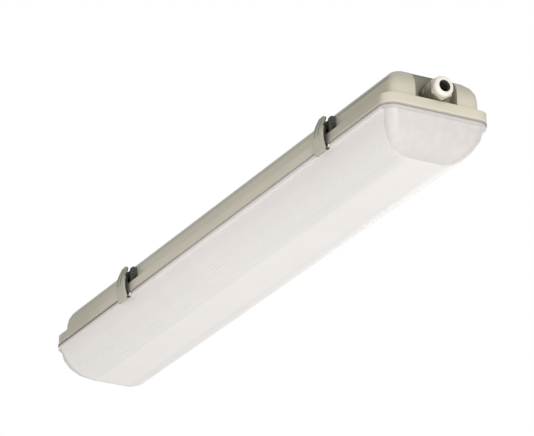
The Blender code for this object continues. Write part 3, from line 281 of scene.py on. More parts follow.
class NodeTree:
    """Adds nodes to a material or a world."""

    def __init__(self, tree):
        self.tree = tree

    def node(self, kind, settings, inputs, output=0):
        """Adds a node, gives it its settings and then the values or links of its sockets."""
        made = self.tree.nodes.new(kind)
        for label, value in settings.items():
            setattr(made, label, value)
        for label, value in inputs.items():
            self.feed(made.inputs[label], value)
        return Value(self, made.outputs[output])

    def feed(self, socket, value):
        if isinstance(value, Value):
            self.tree.links.new(value.socket, socket)
        else:
            socket.default_value = value

    def blend(self, first, second, share):
        """A colour between two colours."""
        return self.node("ShaderNodeMix", {"data_type": "RGBA"}, {0: share, 6: first, 7: second}, 2)


class Finish(NodeTree):
    """A material whose Principled shader is fed by nodes."""

    def __init__(self, name, roughness, metallic=0.0, **constants):
        self.material = bpy.data.materials.new(name)
        self.material.use_nodes = True
        super().__init__(self.material.node_tree)
        self.shader = self.tree.nodes["Principled BSDF"]
        self.set("Roughness", roughness)
        self.set("Metallic", metallic)
        for label, value in constants.items():
            self.set(label.replace("_", " "), value)
        self.coords = self.node("ShaderNodeTexCoord", {}, {}, "Object")

    def set(self, label, value):
        """Feeds one socket of the shader."""
        self.feed(self.shader.inputs[label], value)

    def stretched(self, scale):
        """Object coordinates with their own scale along each axis."""
        return self.node("ShaderNodeMapping", {}, {"Vector": self.coords, "Scale": scale})

    def along(self, axis):
        """One object coordinate, in metres."""
        return self.node("ShaderNodeSeparateXYZ", {}, {0: self.coords}, axis)

    def marked(self, name):
        """A number stored on the piece's own points."""
        return self.node("ShaderNodeAttribute", {"attribute_name": name}, {}, "Fac")

    def noise(self, scale, detail, vector=None):
        inputs = {"Vector": vector or self.coords, "Scale": scale, "Detail": detail}
        return self.node("ShaderNodeTexNoise", {}, inputs)

    def between(self, value, low, high, to_low=0.0, to_high=1.0):
        """Maps a range onto another, with a smooth step and no overshoot."""
        settings = {"interpolation_type": "SMOOTHSTEP"}
        inputs = {"Value": value, "From Min": low, "From Max": high, "To Min": to_low, "To Max": to_high}
        return self.node("ShaderNodeMapRange", settings, inputs)

    def above(self, value, edge, softness):
        """Nothing up to an edge, and one from the end of its soft band on."""
        return self.between(value, edge, edge + softness)

    def below(self, value, edge, softness):
        """One up to an edge, and nothing from the end of its soft band on."""
        return self.between(value, edge, edge + softness, 1.0, 0.0)

    def band(self, value, centre, half):
        """One at the centre of a narrow band, and nothing outside it."""
        return self.below(abs(value - centre), 0.0, half)

    def stripes(self, value, pitch):
        """Runs smoothly between nothing and one, once in each pitch."""
        turn = value * (2 * math.pi / pitch)
        return 0.5 + 0.5 * turn.step("COSINE", turn, 0.0)

    def bump(self, height, distance, strength, normal=None):
        inputs = {"Height": height, "Distance": distance, "Strength": strength}
        if normal:
            inputs["Normal"] = normal
        return self.node("ShaderNodeBump", {}, inputs)


def rgb(red, green, blue):
    return (red, green, blue, 1.0)


# Finishes

def moulded_plastic(name, colour, light, dark, roughness, grain=900.0):
    """Moulded plastic: faint clouding, a fine satin grain, and specks rubbed a little paler."""
    finish = Finish(name, roughness)
    cloud = finish.noise(22.0, 4.0)
    speck = finish.noise(grain * 2.5, 2.0)
    base = finish.blend(colour, dark, finish.between(cloud, 0.45, 0.8, 0.0, 0.55))
    base = finish.blend(base, light, finish.between(speck, 0.62, 0.8, 0.0, 0.4))
    finish.set("Base Color", base)
    finish.set("Roughness", roughness + 0.12 * (finish.noise(60.0, 3.0) - 0.5))
    peel = finish.bump(finish.noise(140.0, 1.0), 0.0002, 0.25)
    finish.set("Normal", finish.bump(finish.noise(grain, 2.0), 0.00006, 0.35, peel))
    return finish


def marked_metal(name, bright, dull, roughness, across):
    """Drawn, plated or turned metal, with its marks running one way."""
    finish = Finish(name, roughness, 1.0)
    marks = finish.noise(1200.0, 3.0, finish.stretched(across))
    stain = finish.noise(120.0, 4.0)
    finish.set("Base Color", finish.blend(bright, dull, finish.between(stain, 0.4, 0.8)))
    finish.set("Roughness", roughness + 0.2 * (marks - 0.5))
    finish.set("Normal", finish.bump(marks, 0.00004, 0.35))
    return finish


def paint_side_shade(finish, base, cable_end):
    """Painted shade on the canopy's sides: towards both ends, under the shoulder and on the flange."""
    height = finish.along(2)
    on_side = finish.above(abs(finish.along(1)), BODY_SIDE - 0.004, 0.003)
    on_side = on_side * finish.below(abs(finish.along(0)), HALF_LENGTH - 0.016, 0.010)
    ends = cable_end | finish.between(finish.along(0), *BLIND_END_SHADE, 0.42, 0.0)
    base = finish.blend(base, rgb(0.33, 0.3, 0.22), on_side * ends)
    shoulder = on_side * finish.between(height, *SHOULDER_SHADE)
    base = finish.blend(base, rgb(0.1, 0.1, 0.075), shoulder * (0.3 + cable_end))
    on_flange = on_side * finish.between(height, FLANGE_TOP_Z - 0.0004, LEDGE_TOP_Z, 1.0, 0.0)
    return finish.blend(base, rgb(0.42, 0.385, 0.305), on_flange * (0.25 + ends * 1.3))


def shade_recesses(finish, base):
    """Shade between the recesses' walls, deeper inwards."""
    reach = abs(finish.along(0))
    between_walls = finish.below(abs(finish.along(1)), RECESS_HALF + 0.0002, 0.0006)
    past_wall = finish.above(reach, RECESS_WALL - 0.0008, 0.0006)
    deep = finish.below(reach, HALF_LENGTH - 0.012, 0.010)
    return finish.blend(base, rgb(0.13, 0.125, 0.085), between_walls * past_wall * deep * 0.7)


def paint_joint_highlight_and_shadow(finish, base, cable_end):
    """A painted highlight line above the joint, and a painted shadow along the joint that fades away from
    the blind end.
    """
    height = finish.along(2)
    # Painted highlight on the flange's rounded foot, then a painted shadow line along the joint
    painted_highlight_line = finish.band(height, JOINT_Z + 0.0021, 0.001)
    base = finish.blend(base, rgb(0.76, 0.72, 0.66), painted_highlight_line * (0.45 + cable_end * 0.6))
    joint_shadow = finish.below(height, JOINT_Z + 0.0004, 0.0013)
    joint_shadow = joint_shadow * finish.between(finish.along(0), *JOINT_SHADE_FADES, 0.6, 0.3)
    return finish.blend(base, rgb(0.2, 0.175, 0.165), joint_shadow)


def make_housing_grey():
    """The canopy's grey-beige plastic: painted shade that darkens it upwards, on its sides, in its recesses
    and along the joint, a painted highlight line above the joint, and wear rubbed on its rim.
    """
    finish = Finish("housing_grey", 0.5)
    height = finish.along(2)
    cloud = finish.noise(9.0, 5.0)
    flow = finish.noise(5.0, 3.0, finish.stretched((0.4, 3.0, 3.0)))
    speck = finish.noise(2600.0, 1.0)
    base = finish.blend(rgb(0.655, 0.605, 0.49), rgb(0.61, 0.57, 0.46), finish.between(cloud, 0.4, 0.75))
    base = finish.blend(base, rgb(0.69, 0.635, 0.53), finish.between(flow, 0.5, 0.8, 0.0, 0.5))
    # Painted shade: darker up the sides and darkest along the top, where less light falls
    base = finish.blend(base, rgb(0.4, 0.395, 0.31), finish.between(height, *SIDE_FADE, 0.0, 0.75))
    base = finish.blend(base, rgb(0.16, 0.165, 0.125), finish.between(height, *TOP_FADE, 0.0, 0.7))
    base = finish.blend(base, rgb(0.5, 0.47, 0.38), finish.between(speck, 0.6, 0.8, 0.0, 0.22))
    # Painted shade is strongest towards the cable end; this share also strengthens the painted highlight
    # above the joint
    cable_end = finish.between(finish.along(0), *CABLE_END_SHADE, 0.0, 0.5)
    base = paint_side_shade(finish, base, cable_end)
    base = shade_recesses(finish, base)
    base = paint_joint_highlight_and_shadow(finish, base, cable_end)
    rim = finish.above(abs(finish.along(1)), HALF_WIDTH - 0.0004, 0.0004)
    rubbed = rim * finish.between(finish.noise(160.0, 4.0), 0.5, 0.7)
    finish.set("Base Color", finish.blend(base, rgb(0.74, 0.7, 0.6), rubbed * 0.4))
    finish.set("Roughness", 0.47 + 0.16 * finish.noise(45.0, 4.0) - rubbed * 0.08)
    peel = finish.bump(finish.noise(120.0, 2.0), 0.0003, 0.2)
    finish.set("Normal", finish.bump(finish.noise(1100.0, 2.0), 0.00008, 0.3, peel))
    return finish


def make_clear_diffuser():
    """Milky ribbed plastic: fine lines along the shoulders, a brighter floor and smooth, greyer ends, with
    painted shade towards the cable end, along the floor's bend and under the rim, and a painted highlight
    where the ribs stop.
    """
    finish = Finish("clear_diffuser", 0.38, IOR=1.49, Coat_Roughness=0.2, Specular_IOR_Level=0.25)
    height = finish.along(2)
    across = finish.marked("across")
    reach = abs(finish.along(0)) + RIB_RAKE * (RIM_TOP_Z - height)
    ribbed = finish.below(reach, RIB_STOP - 0.001, 0.002)
    floor = finish.below(abs(across), FLOOR_HALF - 0.003, 0.012)
    low = finish.between(height, *RIB_FADE, 1.0, 0.12)
    line = finish.stripes(across, RIB_PITCH) * ribbed * low * (1.0 - floor * 0.75)
    streak = finish.noise(40.0, 4.0, finish.stretched((0.25, 4.0, 4.0)))
    haze = finish.noise(30.0, 3.0)
    # Painted shade: shoulders and floor grey towards the cable end, where the lamps light the bowl more
    # strongly
    cable_end = finish.between(finish.along(0), *BOWL_GREYS)
    shoulders = finish.blend(rgb(0.85, 0.81, 0.78), rgb(0.765, 0.73, 0.705), cable_end)
    flat = finish.blend(rgb(0.885, 0.845, 0.815), rgb(0.83, 0.793, 0.764), cable_end)
    base = finish.blend(rgb(0.665, 0.63, 0.605), rgb(0.695, 0.66, 0.635), finish.between(streak, 0.35, 0.7))
    base = finish.blend(base, shoulders, ribbed)
    base = finish.blend(base, flat, floor * ribbed)
    base = finish.blend(base, rgb(0.66, 0.64, 0.615), line * 0.5)
    # Painted highlight along the line where the ribs stop
    rib_end_highlight = finish.band(reach, RIB_STOP, 0.0012) * (1.0 - floor)
    base = finish.blend(base, rgb(0.87, 0.85, 0.835), rib_end_highlight * 0.6)
    # Painted shade: a grey band where the floor bends into the shoulders
    bend = finish.band(abs(across), FLOOR_HALF + 0.0022, 0.0022)
    base = finish.blend(base, rgb(0.73, 0.73, 0.735), bend * ribbed * 0.5)
    # Painted shade below the rim, under the flange, fading towards the cable end
    near_rim = finish.above(height, RIM_TOP_Z - 0.0045, 0.0023)
    near_rim = near_rim * finish.between(finish.along(0), *JOINT_SHADE_FADES, 0.5, 0.1)
    finish.set("Base Color", finish.blend(base, rgb(0.6, 0.57, 0.54), near_rim))
    finish.set("Alpha", 0.9 + line * 0.04 + 0.05 * (haze - 0.5) + ribbed * 0.03)
    finish.set("Roughness", 0.38 + 0.14 * (haze - 0.5))
    finish.set("Coat Weight", 0.12 + 0.1 * (haze - 0.5))
    ripple = finish.bump(finish.noise(26.0, 2.0, finish.stretched((0.5, 2.0, 2.0))), 0.0006, 0.12)
    finish.set("Normal", finish.bump(line, 0.00025, 0.5, ripple))
    return finish


def make_seal_black():
    """Soft black rubber with a dry bloom, greyer on the gasket's lip, whose grey is painted paler towards
    the cable end.
    """
    finish = Finish("seal_black", 0.75)
    bloom = finish.noise(220.0, 5.0)
    dusty = finish.between(bloom, 0.5, 0.8)
    base = finish.blend(rgb(0.03, 0.03, 0.024), rgb(0.075, 0.073, 0.062), dusty)
    beside = finish.above(abs(finish.along(1)), gasket_high.y, 0.0006)
    beyond = finish.above(abs(finish.along(0)), gasket_high.x, 0.0006)
    on_lip = (beside | beyond) * finish.below(finish.along(2), JOINT_Z, 0.0002)
    # Painted light: the lip pales from the blind end towards the middle, as the joint's shadow line fades
    clear = finish.between(finish.along(0), *JOINT_SHADE_FADES)
    lip = finish.blend(rgb(0.2, 0.185, 0.17), rgb(0.36, 0.335, 0.305), clear)
    finish.set("Base Color", finish.blend(base, lip, on_lip))
    finish.set("Roughness", 0.68 + 0.2 * bloom)
    finish.set("Normal", finish.bump(finish.noise(1500.0, 2.0), 0.00008, 0.4))
    return finish


def make_clip_grey():
    """The clips' plastic, with painted shade: greener and darker up the tongue, darker in its grooves, and
    near black behind its plate and at the hook's toe.
    """
    finish = Finish("clip_grey", 0.42)
    height = finish.along(2)
    out = abs(finish.along(1)) - PIN_OUT
    sideways = abs(abs(finish.along(0) - CLIPS_CENTRE) - CLIPS_SPREAD)
    cloud = finish.noise(60.0, 4.0)
    base = finish.blend(rgb(0.44, 0.42, 0.335), rgb(0.39, 0.375, 0.295), finish.between(cloud, 0.4, 0.75))
    # Painted shade: darker and greener up the tongue
    base = finish.blend(base, rgb(0.25, 0.25, 0.18), finish.between(height, *CLIP_FADE, 0.0, 0.85))
    rubbed = finish.between(finish.noise(420.0, 3.0), 0.56, 0.74)
    base = finish.blend(base, rgb(0.5, 0.49, 0.41), rubbed * 0.3)
    # Painted shade in the grooves
    groove = finish.below(abs(sideways - GROOVE_MIDDLE), GROOVE_HALF - 0.0003, 0.0006)
    groove = groove * finish.above(height, GROOVE_LOW_Z - 0.0003, 0.0023)
    base = finish.blend(base, rgb(0.13, 0.13, 0.08), groove * 0.4)
    # Painted shadow: near black on the arm behind the plate and on the hook's toe
    leant_out = out + TONGUE_SLOPE * (height - SHOULDER_Z)
    arm = finish.below(leant_out, ARM_OUT, 0.0003) * finish.above(height, ARM_LOW_Z - 0.0005, 0.0005)
    toe = finish.below(out, TOE_OUT, 0.0004) * finish.below(height, TOE_Z, 0.0004)
    toe = toe * finish.above(sideways, CLIP_HALF - 0.0008, 0.0005)
    finish.set("Base Color", finish.blend(base, rgb(0.022, 0.024, 0.016), (arm | toe) * 0.95))
    finish.set("Roughness", 0.4 + 0.14 * cloud)
    peel = finish.bump(finish.noise(170.0, 1.0), 0.0002, 0.25)
    finish.set("Normal", finish.bump(finish.noise(1000.0, 2.0), 0.00006, 0.35, peel))
    return finish


def make_gland_cream():
    """The gland's cream plastic with painted shade: bright round the mouth, greyer back to the thread, dark
    under the hexagon's back and darkest at the gland's back.
    """
    finish = Finish("gland_cream", 0.34)
    lengthwise = finish.along(0)
    cloud = finish.noise(90.0, 4.0)
    base = finish.blend(rgb(0.84, 0.785, 0.695), rgb(0.79, 0.735, 0.64), finish.between(cloud, 0.4, 0.75))
    # Painted shade greys the nut behind its mouth and the body back to the thread
    dome = finish.between(lengthwise, nut_high.x - 0.0045, nut_high.x - 0.0002, 0.75, 0.0)
    back = finish.between(lengthwise, nut_low.x + 0.002, nut_low.x + 0.012, 0.8, 0.0)
    base = finish.blend(base, rgb(0.36, 0.33, 0.26), dome | back)
    # Painted shade under the hexagon's back
    under = finish.between(finish.along(2), GLAND_Z - 0.005, GLAND_Z + 0.004, 0.85, 0.1)
    shaded = finish.below(lengthwise, HEX_START + HEX_LENGTH - 0.001, 0.0006)
    base = finish.blend(base, rgb(0.12, 0.11, 0.075), shaded * under)
    # Painted shade at the gland's back, deep in the recess
    behind = finish.between(lengthwise, nut_low.x - 0.002, nut_low.x + 0.005, 0.85, 0.0)
    base = finish.blend(base, rgb(0.15, 0.14, 0.09), behind)
    speck = finish.between(finish.noise(3600.0, 2.0), 0.6, 0.8, 0.0, 0.3)
    finish.set("Base Color", finish.blend(base, rgb(0.9, 0.86, 0.78), speck * (1.0 - behind)))
    finish.set("Roughness", 0.3 + 0.14 * cloud)
    peel = finish.bump(finish.noise(150.0, 1.0), 0.0002, 0.2)
    finish.set("Normal", finish.bump(finish.noise(1500.0, 2.0), 0.00005, 0.3, peel))
    return finish


def make_white_enamel():
    """White stoved enamel on steel sheet, with faint orange peel."""
    finish = Finish("white_enamel", 0.32)
    dust = finish.noise(14.0, 5.0)
    base = finish.blend(rgb(0.86, 0.85, 0.83), rgb(0.8, 0.79, 0.755), finish.between(dust, 0.45, 0.8))
    finish.set("Base Color", base)
    finish.set("Coat Weight", 0.3 + 0.2 * dust)
    finish.set("Roughness", 0.26 + 0.16 * dust)
    finish.set("Normal", finish.bump(finish.noise(420.0, 2.0), 0.0001, 0.25))
    return finish


def make_lamp_glass():
    """White phosphor seen through glass, a little darker towards both ends."""
    finish = Finish("lamp_glass", 0.12)
    end = finish.between(abs(finish.along(0)), *LAMP_END)
    powder = finish.noise(500.0, 4.0)
    base = finish.blend(rgb(0.93, 0.93, 0.91), rgb(0.88, 0.88, 0.865), powder)
    finish.set("Base Color", finish.blend(base, rgb(0.6, 0.585, 0.56), end * 0.5))
    finish.set("Coat Weight", 0.6 + 0.1 * powder)
    finish.set("Roughness", 0.14 + 0.1 * powder)
    finish.set("Normal", finish.bump(finish.noise(60.0, 1.0), 0.0002, 0.05))
    return finish


# Plain plastics: colour, light, dark, roughness and, on some, the scale of the grain
PLASTICS = {
    "bracket_grey": (rgb(0.05, 0.054, 0.038), rgb(0.16, 0.165, 0.125), rgb(0.018, 0.02, 0.013), 0.4),
    # spring_dark: a dark steel leaf, near black so that it also stands in for the shade behind the clip's
    # plate
    "spring_dark": (rgb(0.016, 0.017, 0.011), rgb(0.06, 0.06, 0.045), rgb(0.008, 0.009, 0.006), 0.5),
    "rim_lug": (rgb(0.76, 0.74, 0.71), rgb(0.82, 0.8, 0.77), rgb(0.68, 0.66, 0.63), 0.35),
    "white_plastic": (rgb(0.8, 0.79, 0.75), rgb(0.86, 0.85, 0.82), rgb(0.73, 0.71, 0.66), 0.38, 1300.0),
    "gear_white": (rgb(0.79, 0.79, 0.77), rgb(0.84, 0.84, 0.82), rgb(0.72, 0.72, 0.7), 0.35),
    "wire_brown": (rgb(0.2, 0.09, 0.045), rgb(0.26, 0.13, 0.07), rgb(0.15, 0.06, 0.03), 0.45, 1800.0),
    "wire_blue": (rgb(0.05, 0.16, 0.42), rgb(0.09, 0.22, 0.5), rgb(0.035, 0.11, 0.32), 0.45, 1800.0),
    "wire_green": (rgb(0.14, 0.38, 0.09), rgb(0.5, 0.52, 0.08), rgb(0.09, 0.28, 0.06), 0.45, 1800.0),
    "wire_white": (rgb(0.8, 0.79, 0.76), rgb(0.86, 0.85, 0.82), rgb(0.72, 0.71, 0.67), 0.45, 1800.0),
}

# Metals: bright, dull, roughness and how their marks are stretched
METALS = {
    "steel": (rgb(0.62, 0.62, 0.6), rgb(0.5, 0.51, 0.52), 0.3, (6.0, 1.0, 1.0)),
    "pin_steel": (rgb(0.16, 0.16, 0.14), rgb(0.09, 0.09, 0.08), 0.5, (1.0, 5.0, 5.0)),
    "aluminium": (rgb(0.75, 0.75, 0.75), rgb(0.66, 0.66, 0.67), 0.32, (1.0, 5.0, 5.0)),
    "brass": (rgb(0.78, 0.62, 0.33), rgb(0.6, 0.46, 0.24), 0.3, (5.0, 1.0, 1.0)),
}

FINISHES = {
    "housing_grey": make_housing_grey(),
    "seal_black": make_seal_black(),
    "clear_diffuser": make_clear_diffuser(),
    "clip_grey": make_clip_grey(),
    "gland_cream": make_gland_cream(),
    "white_enamel": make_white_enamel(),
    "lamp_glass": make_lamp_glass(),
}
FINISHES.update({name: moulded_plastic(name, *look) for name, look in PLASTICS.items()})
FINISHES.update({name: marked_metal(name, *look) for name, look in METALS.items()})


# Mesh tools

def give_finish(piece, finish):
    piece.data.materials.clear()
    piece.data.materials.append(FINISHES[finish].material)


def select_only(piece):
    bpy.ops.object.select_all(action="DESELECT")
    piece.select_set(True)
    bpy.context.view_layer.objects.active = piece


def ride_on(piece, body, slot, finish=None):
    """Gives a finished piece its material, its smoothing and the body that it moves with."""
    give_finish(piece, finish or slot)
    select_only(piece)
    bpy.ops.object.shade_smooth_by_angle(angle=SMOOTH_ANGLE)
    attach(piece, body)


def stand_for(piece, node, finish=None):
    """Lets a finished piece ride and show in place of a node of the frame."""
    ride_on(piece, BODY_OF[node], SLOT_OF[node], finish)
    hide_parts(node)


def shape(piece, kind="VERT"):
    """Opens a piece in edit mode with nothing selected."""
    select_only(piece)
    bpy.ops.object.mode_set(mode="EDIT")
    bpy.ops.mesh.select_mode(type=kind)
    bpy.ops.mesh.select_all(action="DESELECT")


def leave():
    bpy.ops.object.mode_set(mode="OBJECT")


def pick_faces(piece, test):
    """Selects the faces whose centre and normal pass the test, and stays in edit mode."""
    shape(piece, "FACE")
    leave()
    for face in piece.data.polygons:
        face.select = test(face.center, face.normal)
    bpy.ops.object.mode_set(mode="EDIT")


def pick_edges(piece, test):
    """Selects the sharp edges whose ends pass the test, and stays in edit mode."""
    shape(piece, "EDGE")
    bpy.ops.mesh.edges_select_sharp(sharpness=SHARP_ANGLE)
    leave()
    points = piece.data.vertices
    for edge in piece.data.edges:
        first, second = (points[index].co for index in edge.vertices)
        edge.select = edge.select and test(first) and test(second)
    bpy.ops.object.mode_set(mode="EDIT")


def everywhere(point):
    return True


def soften_edges(piece, width, segments=2, test=everywhere, clamp=True):
    """Rounds the sharp edges whose ends pass the test."""
    pick_edges(piece, test)
    bpy.ops.mesh.bevel(offset=width, segments=segments, affect="EDGES", clamp_overlap=clamp)
    leave()
    return piece


def cut_plane(piece, place, normal, clear=False):
    """Cuts a piece through along a plane, and can take away what lies in front of it."""
    shape(piece)
    bpy.ops.mesh.select_all(action="SELECT")
    bpy.ops.mesh.bisect(plane_co=place, plane_no=normal, clear_outer=clear, use_fill=clear)
    leave()


def merged_copy(node):
    """A copy of a node's mesh, its loose triangles joined and its flat faces made whole."""
    piece = bpy.data.objects.new(node + "_skin", frame["nodes"][node].data.copy())
    bpy.context.scene.collection.objects.link(piece)
    select_only(piece)
    bpy.ops.mesh.customdata_custom_splitnormals_clear()
    bpy.ops.object.mode_set(mode="EDIT")
    bpy.ops.mesh.select_all(action="SELECT")
    bpy.ops.mesh.remove_doubles(threshold=MERGE_DISTANCE)
    bpy.ops.mesh.dissolve_limited(angle_limit=FLAT_ANGLE)
    leave()
    return piece


def place_in_mesh(piece, name):
    """Names a new piece and moves its place, turn and scale into its mesh."""
    piece.name = name
    select_only(piece)
    bpy.ops.object.transform_apply(location=True, rotation=True, scale=True)
    return piece


def with_modifier(piece, kind, **settings):
    """Adds a modifier to a piece and applies it."""
    select_only(piece)
    step = piece.modifiers.new(kind.lower(), kind)
    for label, value in settings.items():
        setattr(step, label, value)
    bpy.ops.object.modifier_apply(modifier=step.name)


def combine(piece, other, operation):
    """Joins or cuts a piece by another one, which is then removed."""
    with_modifier(piece, "BOOLEAN", operation=operation, solver="EXACT", object=other)
    bpy.data.objects.remove(other, do_unlink=True)


def block(name, middle, size):
    """A plain block."""
    bpy.ops.mesh.primitive_cube_add(size=1.0, location=middle)
    bpy.context.object.scale = size
    return place_in_mesh(bpy.context.object, name)


def turned(name, profile, bored=False):
    """Turns (along, radius) points about the gland's axis: a ring is extruded and resized step by step."""
    along, radius = profile[0]
    turn = (0.0, math.pi / 2, 0.0)
    bpy.ops.mesh.primitive_circle_add(
        vertices=ROUND_STEPS, radius=radius, location=(along, 0.0, GLAND_Z), rotation=turn
    )
    piece = place_in_mesh(bpy.context.object, name)
    shape(piece)
    bpy.ops.mesh.select_all(action="SELECT")
    if not bored:
        bpy.ops.mesh.edge_face_add()
    for (before, wide), (after, narrow) in zip(profile, profile[1:]):
        bpy.ops.mesh.extrude_edges_move(TRANSFORM_OT_translate={"value": (after - before, 0.0, 0.0)})
        size = narrow / wide
        bpy.ops.transform.resize(value=(1.0, size, size), center_override=(after, 0.0, GLAND_Z))
    if bored:
        bpy.ops.mesh.select_all(action="DESELECT")
        bpy.ops.mesh.select_non_manifold()
        bpy.ops.mesh.bridge_edge_loops()
    else:
        bpy.ops.mesh.edge_face_add()
    bpy.ops.mesh.select_all(action="SELECT")
    bpy.ops.mesh.normals_make_consistent(inside=False)
    leave()
    return piece


# Canopy, gasket and diffuser

def flange_inset(point):
    """How far a point lies inside the flange's rounded outline."""
    beyond_x = abs(point.x) - (HALF_LENGTH - FLANGE_CORNER)
    beyond_y = abs(point.y) - (HALF_WIDTH - FLANGE_CORNER)
    if beyond_x > 0 and beyond_y > 0:
        return FLANGE_CORNER - math.hypot(beyond_x, beyond_y)
    return FLANGE_CORNER - max(beyond_x, beyond_y)


def on_flange_edge(point):
    return abs(point.z - FLANGE_TOP_Z) < NEAR and flange_inset(point) < FLANGE_EDGE_INSET


def on_ledge_foot(point):
    return abs(point.z - LEDGE_TOP_Z) < NEAR and flange_inset(point) > LEDGE_INSET


def on_recess_edge(point):
    """The recesses' mouths: up both sides, over the shoulder and along the top of the wall."""
    reach = abs(point.x)
    beside = abs(abs(point.y) - RECESS_HALF) < NEAR and reach > RECESS_WALL - NEAR
    above = abs(reach - RECESS_WALL) < NEAR and abs(point.y) < RECESS_HALF + NEAR
    return (beside and point.z > FLANGE_TOP_Z + NEAR) or (above and point.z > RECESS_TOP_Z)


def dress_housing():
    shell = merged_copy("housing")
    soften_edges(shell, FLANGE_ROUND, 3, on_flange_edge)
    soften_edges(shell, LEDGE_ROUND, 3, on_ledge_foot)
    soften_edges(shell, RECESS_ROUND, 3, on_recess_edge)
    stand_for(shell, "housing")


def dress_gasket():
    """The gasket, with the thin lip that shows between the flange and the diffuser's rim."""
    ring = merged_copy("gasket")
    middle = (JOINT_Z + RIM_TOP_Z) / 2
    bpy.ops.mesh.primitive_plane_add(size=1.0, location=(0.0, 0.0, middle))
    bpy.context.object.scale = (2 * (HALF_LENGTH - LIP_SETBACK), 2 * (HALF_WIDTH - LIP_SETBACK), 1.0)
    lip = place_in_mesh(bpy.context.object, "gasket_lip")
    shape(lip)
    bpy.ops.mesh.select_all(action="SELECT")
    bpy.ops.mesh.bevel(offset=LIP_CORNER, segments=LIP_STEPS, affect="VERTICES")
    bpy.ops.mesh.select_mode(type="FACE")
    bpy.ops.mesh.select_all(action="SELECT")
    bpy.ops.mesh.inset(thickness=HALF_WIDTH - LIP_SETBACK - gasket_high.y - SKIN_GAP)
    bpy.ops.mesh.delete(type="FACE")
    leave()
    with_modifier(lip, "SOLIDIFY", thickness=LIP_THICKNESS, offset=0.0)
    select_only(ring)
    lip.select_set(True)
    bpy.ops.object.join()
    stand_for(ring, "gasket")


def mark_across(bowl):
    """Stores on each point how far it lies across the bowl's section, measured along the surface."""
    mark = bowl.data.attributes.new("across", "FLOAT", "POINT")
    radius = (SHOULDER_WIDE + SHOULDER_TALL) / 2
    for point, stored in zip(bowl.data.vertices, mark.data):
        beyond = abs(point.co.y) - FLOOR_HALF
        distance = abs(point.co.y)
        if beyond > 0:
            rise = (point.co.z - BOWL_Z - SHOULDER_TALL) / SHOULDER_TALL
            turned_by = math.pi / 2 - math.atan2(max(-rise, 0.0), beyond / SHOULDER_WIDE)
            distance = FLOOR_HALF + radius * turned_by
        stored.value = math.copysign(distance, point.co.y)


def widen_bowl(bowl):
    """Brings the bowl's wall out towards its top, its rim's foot out a little and the rim itself in."""
    for point in bowl.data.vertices:
        wider = BOWL_WIDER * (point.co.z - BOWL_Z) / (RIM_LOW_Z - BOWL_Z)
        if point.co.z > RIM_LOW_Z - NEAR and flange_inset(point.co) < RIM_FOOT_INSET:
            wider = RIM_FOOT_WIDER
        if point.co.z > RIM_LOW_Z + NEAR:
            wider = -RIM_SETBACK
        point.co.x *= 1 + wider / HALF_LENGTH
        point.co.y *= 1 + wider / HALF_WIDTH


def on_rim(point):
    return point.z > RIM_LOW_Z - NEAR and flange_inset(point) < RIM_SETBACK + RIM_WIDTH


def dress_diffuser():
    bowl = merged_copy("diffuser")
    mark_across(bowl)
    widen_bowl(bowl)
    soften_edges(bowl, RIM_ROUND, 2, on_rim)
    stand_for(bowl, "diffuser")


# Clips, each with its bracket, pin, spring leaf and catch lugs

def dress_rim_lugs(hand, end):
    """Two catches on the diffuser's rim, one on each side of a clip's hook."""
    low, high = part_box(f"clip_{hand}_{end}")
    side = math.copysign(1.0, low.y)
    middle_x = (low.x + high.x) / 2
    y = side * (bowl_high.y + SKIN_GAP + LUG_SIZE[1] / 2)
    z = (RIM_LOW_Z + RIM_TOP_Z) / 2
    for number, way in enumerate((1, -1), 1):
        middle = (middle_x + way * LUG_FROM_CLIP, y, z)
        lug = soften_edges(block(f"rim_lug_{hand}_{end}_{number}", middle, LUG_SIZE), LUG_ROUND)
        ride_on(lug, BODY_OF["diffuser"], "clear_diffuser", "rim_lug")


def shape_tongue(clip, middle_x, tip_z):
    """Slopes the thumb tongue's top towards the cable end and rounds its corner, plane by plane."""
    for radius, drop, cuts in TONGUE_CORNERS:
        centre = Vector((middle_x + TONGUE_HALF - radius, 0.0, tip_z - radius - drop))
        for degrees in cuts:
            angle = math.radians(degrees)
            normal = Vector((math.sin(angle), 0.0, math.cos(angle)))
            cut_plane(clip, centre + radius * normal, normal, clear=True)


def press_grooves(clip, middle_x, side, high_z):
    """Sinks two grooves into the outer face of the plate and tongue."""
    for edge in (GROOVE_NEAR, GROOVE_FAR):
        for way in (1, -1):
            cut_plane(clip, (middle_x + way * edge, 0.0, 0.0), (1.0, 0.0, 0.0))
    for height in (GROOVE_LOW_Z, high_z):
        cut_plane(clip, (0.0, 0.0, height), (0.0, 0.0, 1.0))

    def in_groove(centre, normal):
        facing = normal.y * side > GROOVE_FACING
        between_edges = GROOVE_NEAR < abs(centre.x - middle_x) < GROOVE_FAR
        return facing and between_edges and GROOVE_LOW_Z < centre.z < high_z

    pick_faces(clip, in_groove)
    bpy.ops.mesh.extrude_region_shrink_fatten(TRANSFORM_OT_shrink_fatten={"value": -GROOVE_DEPTH})
    leave()


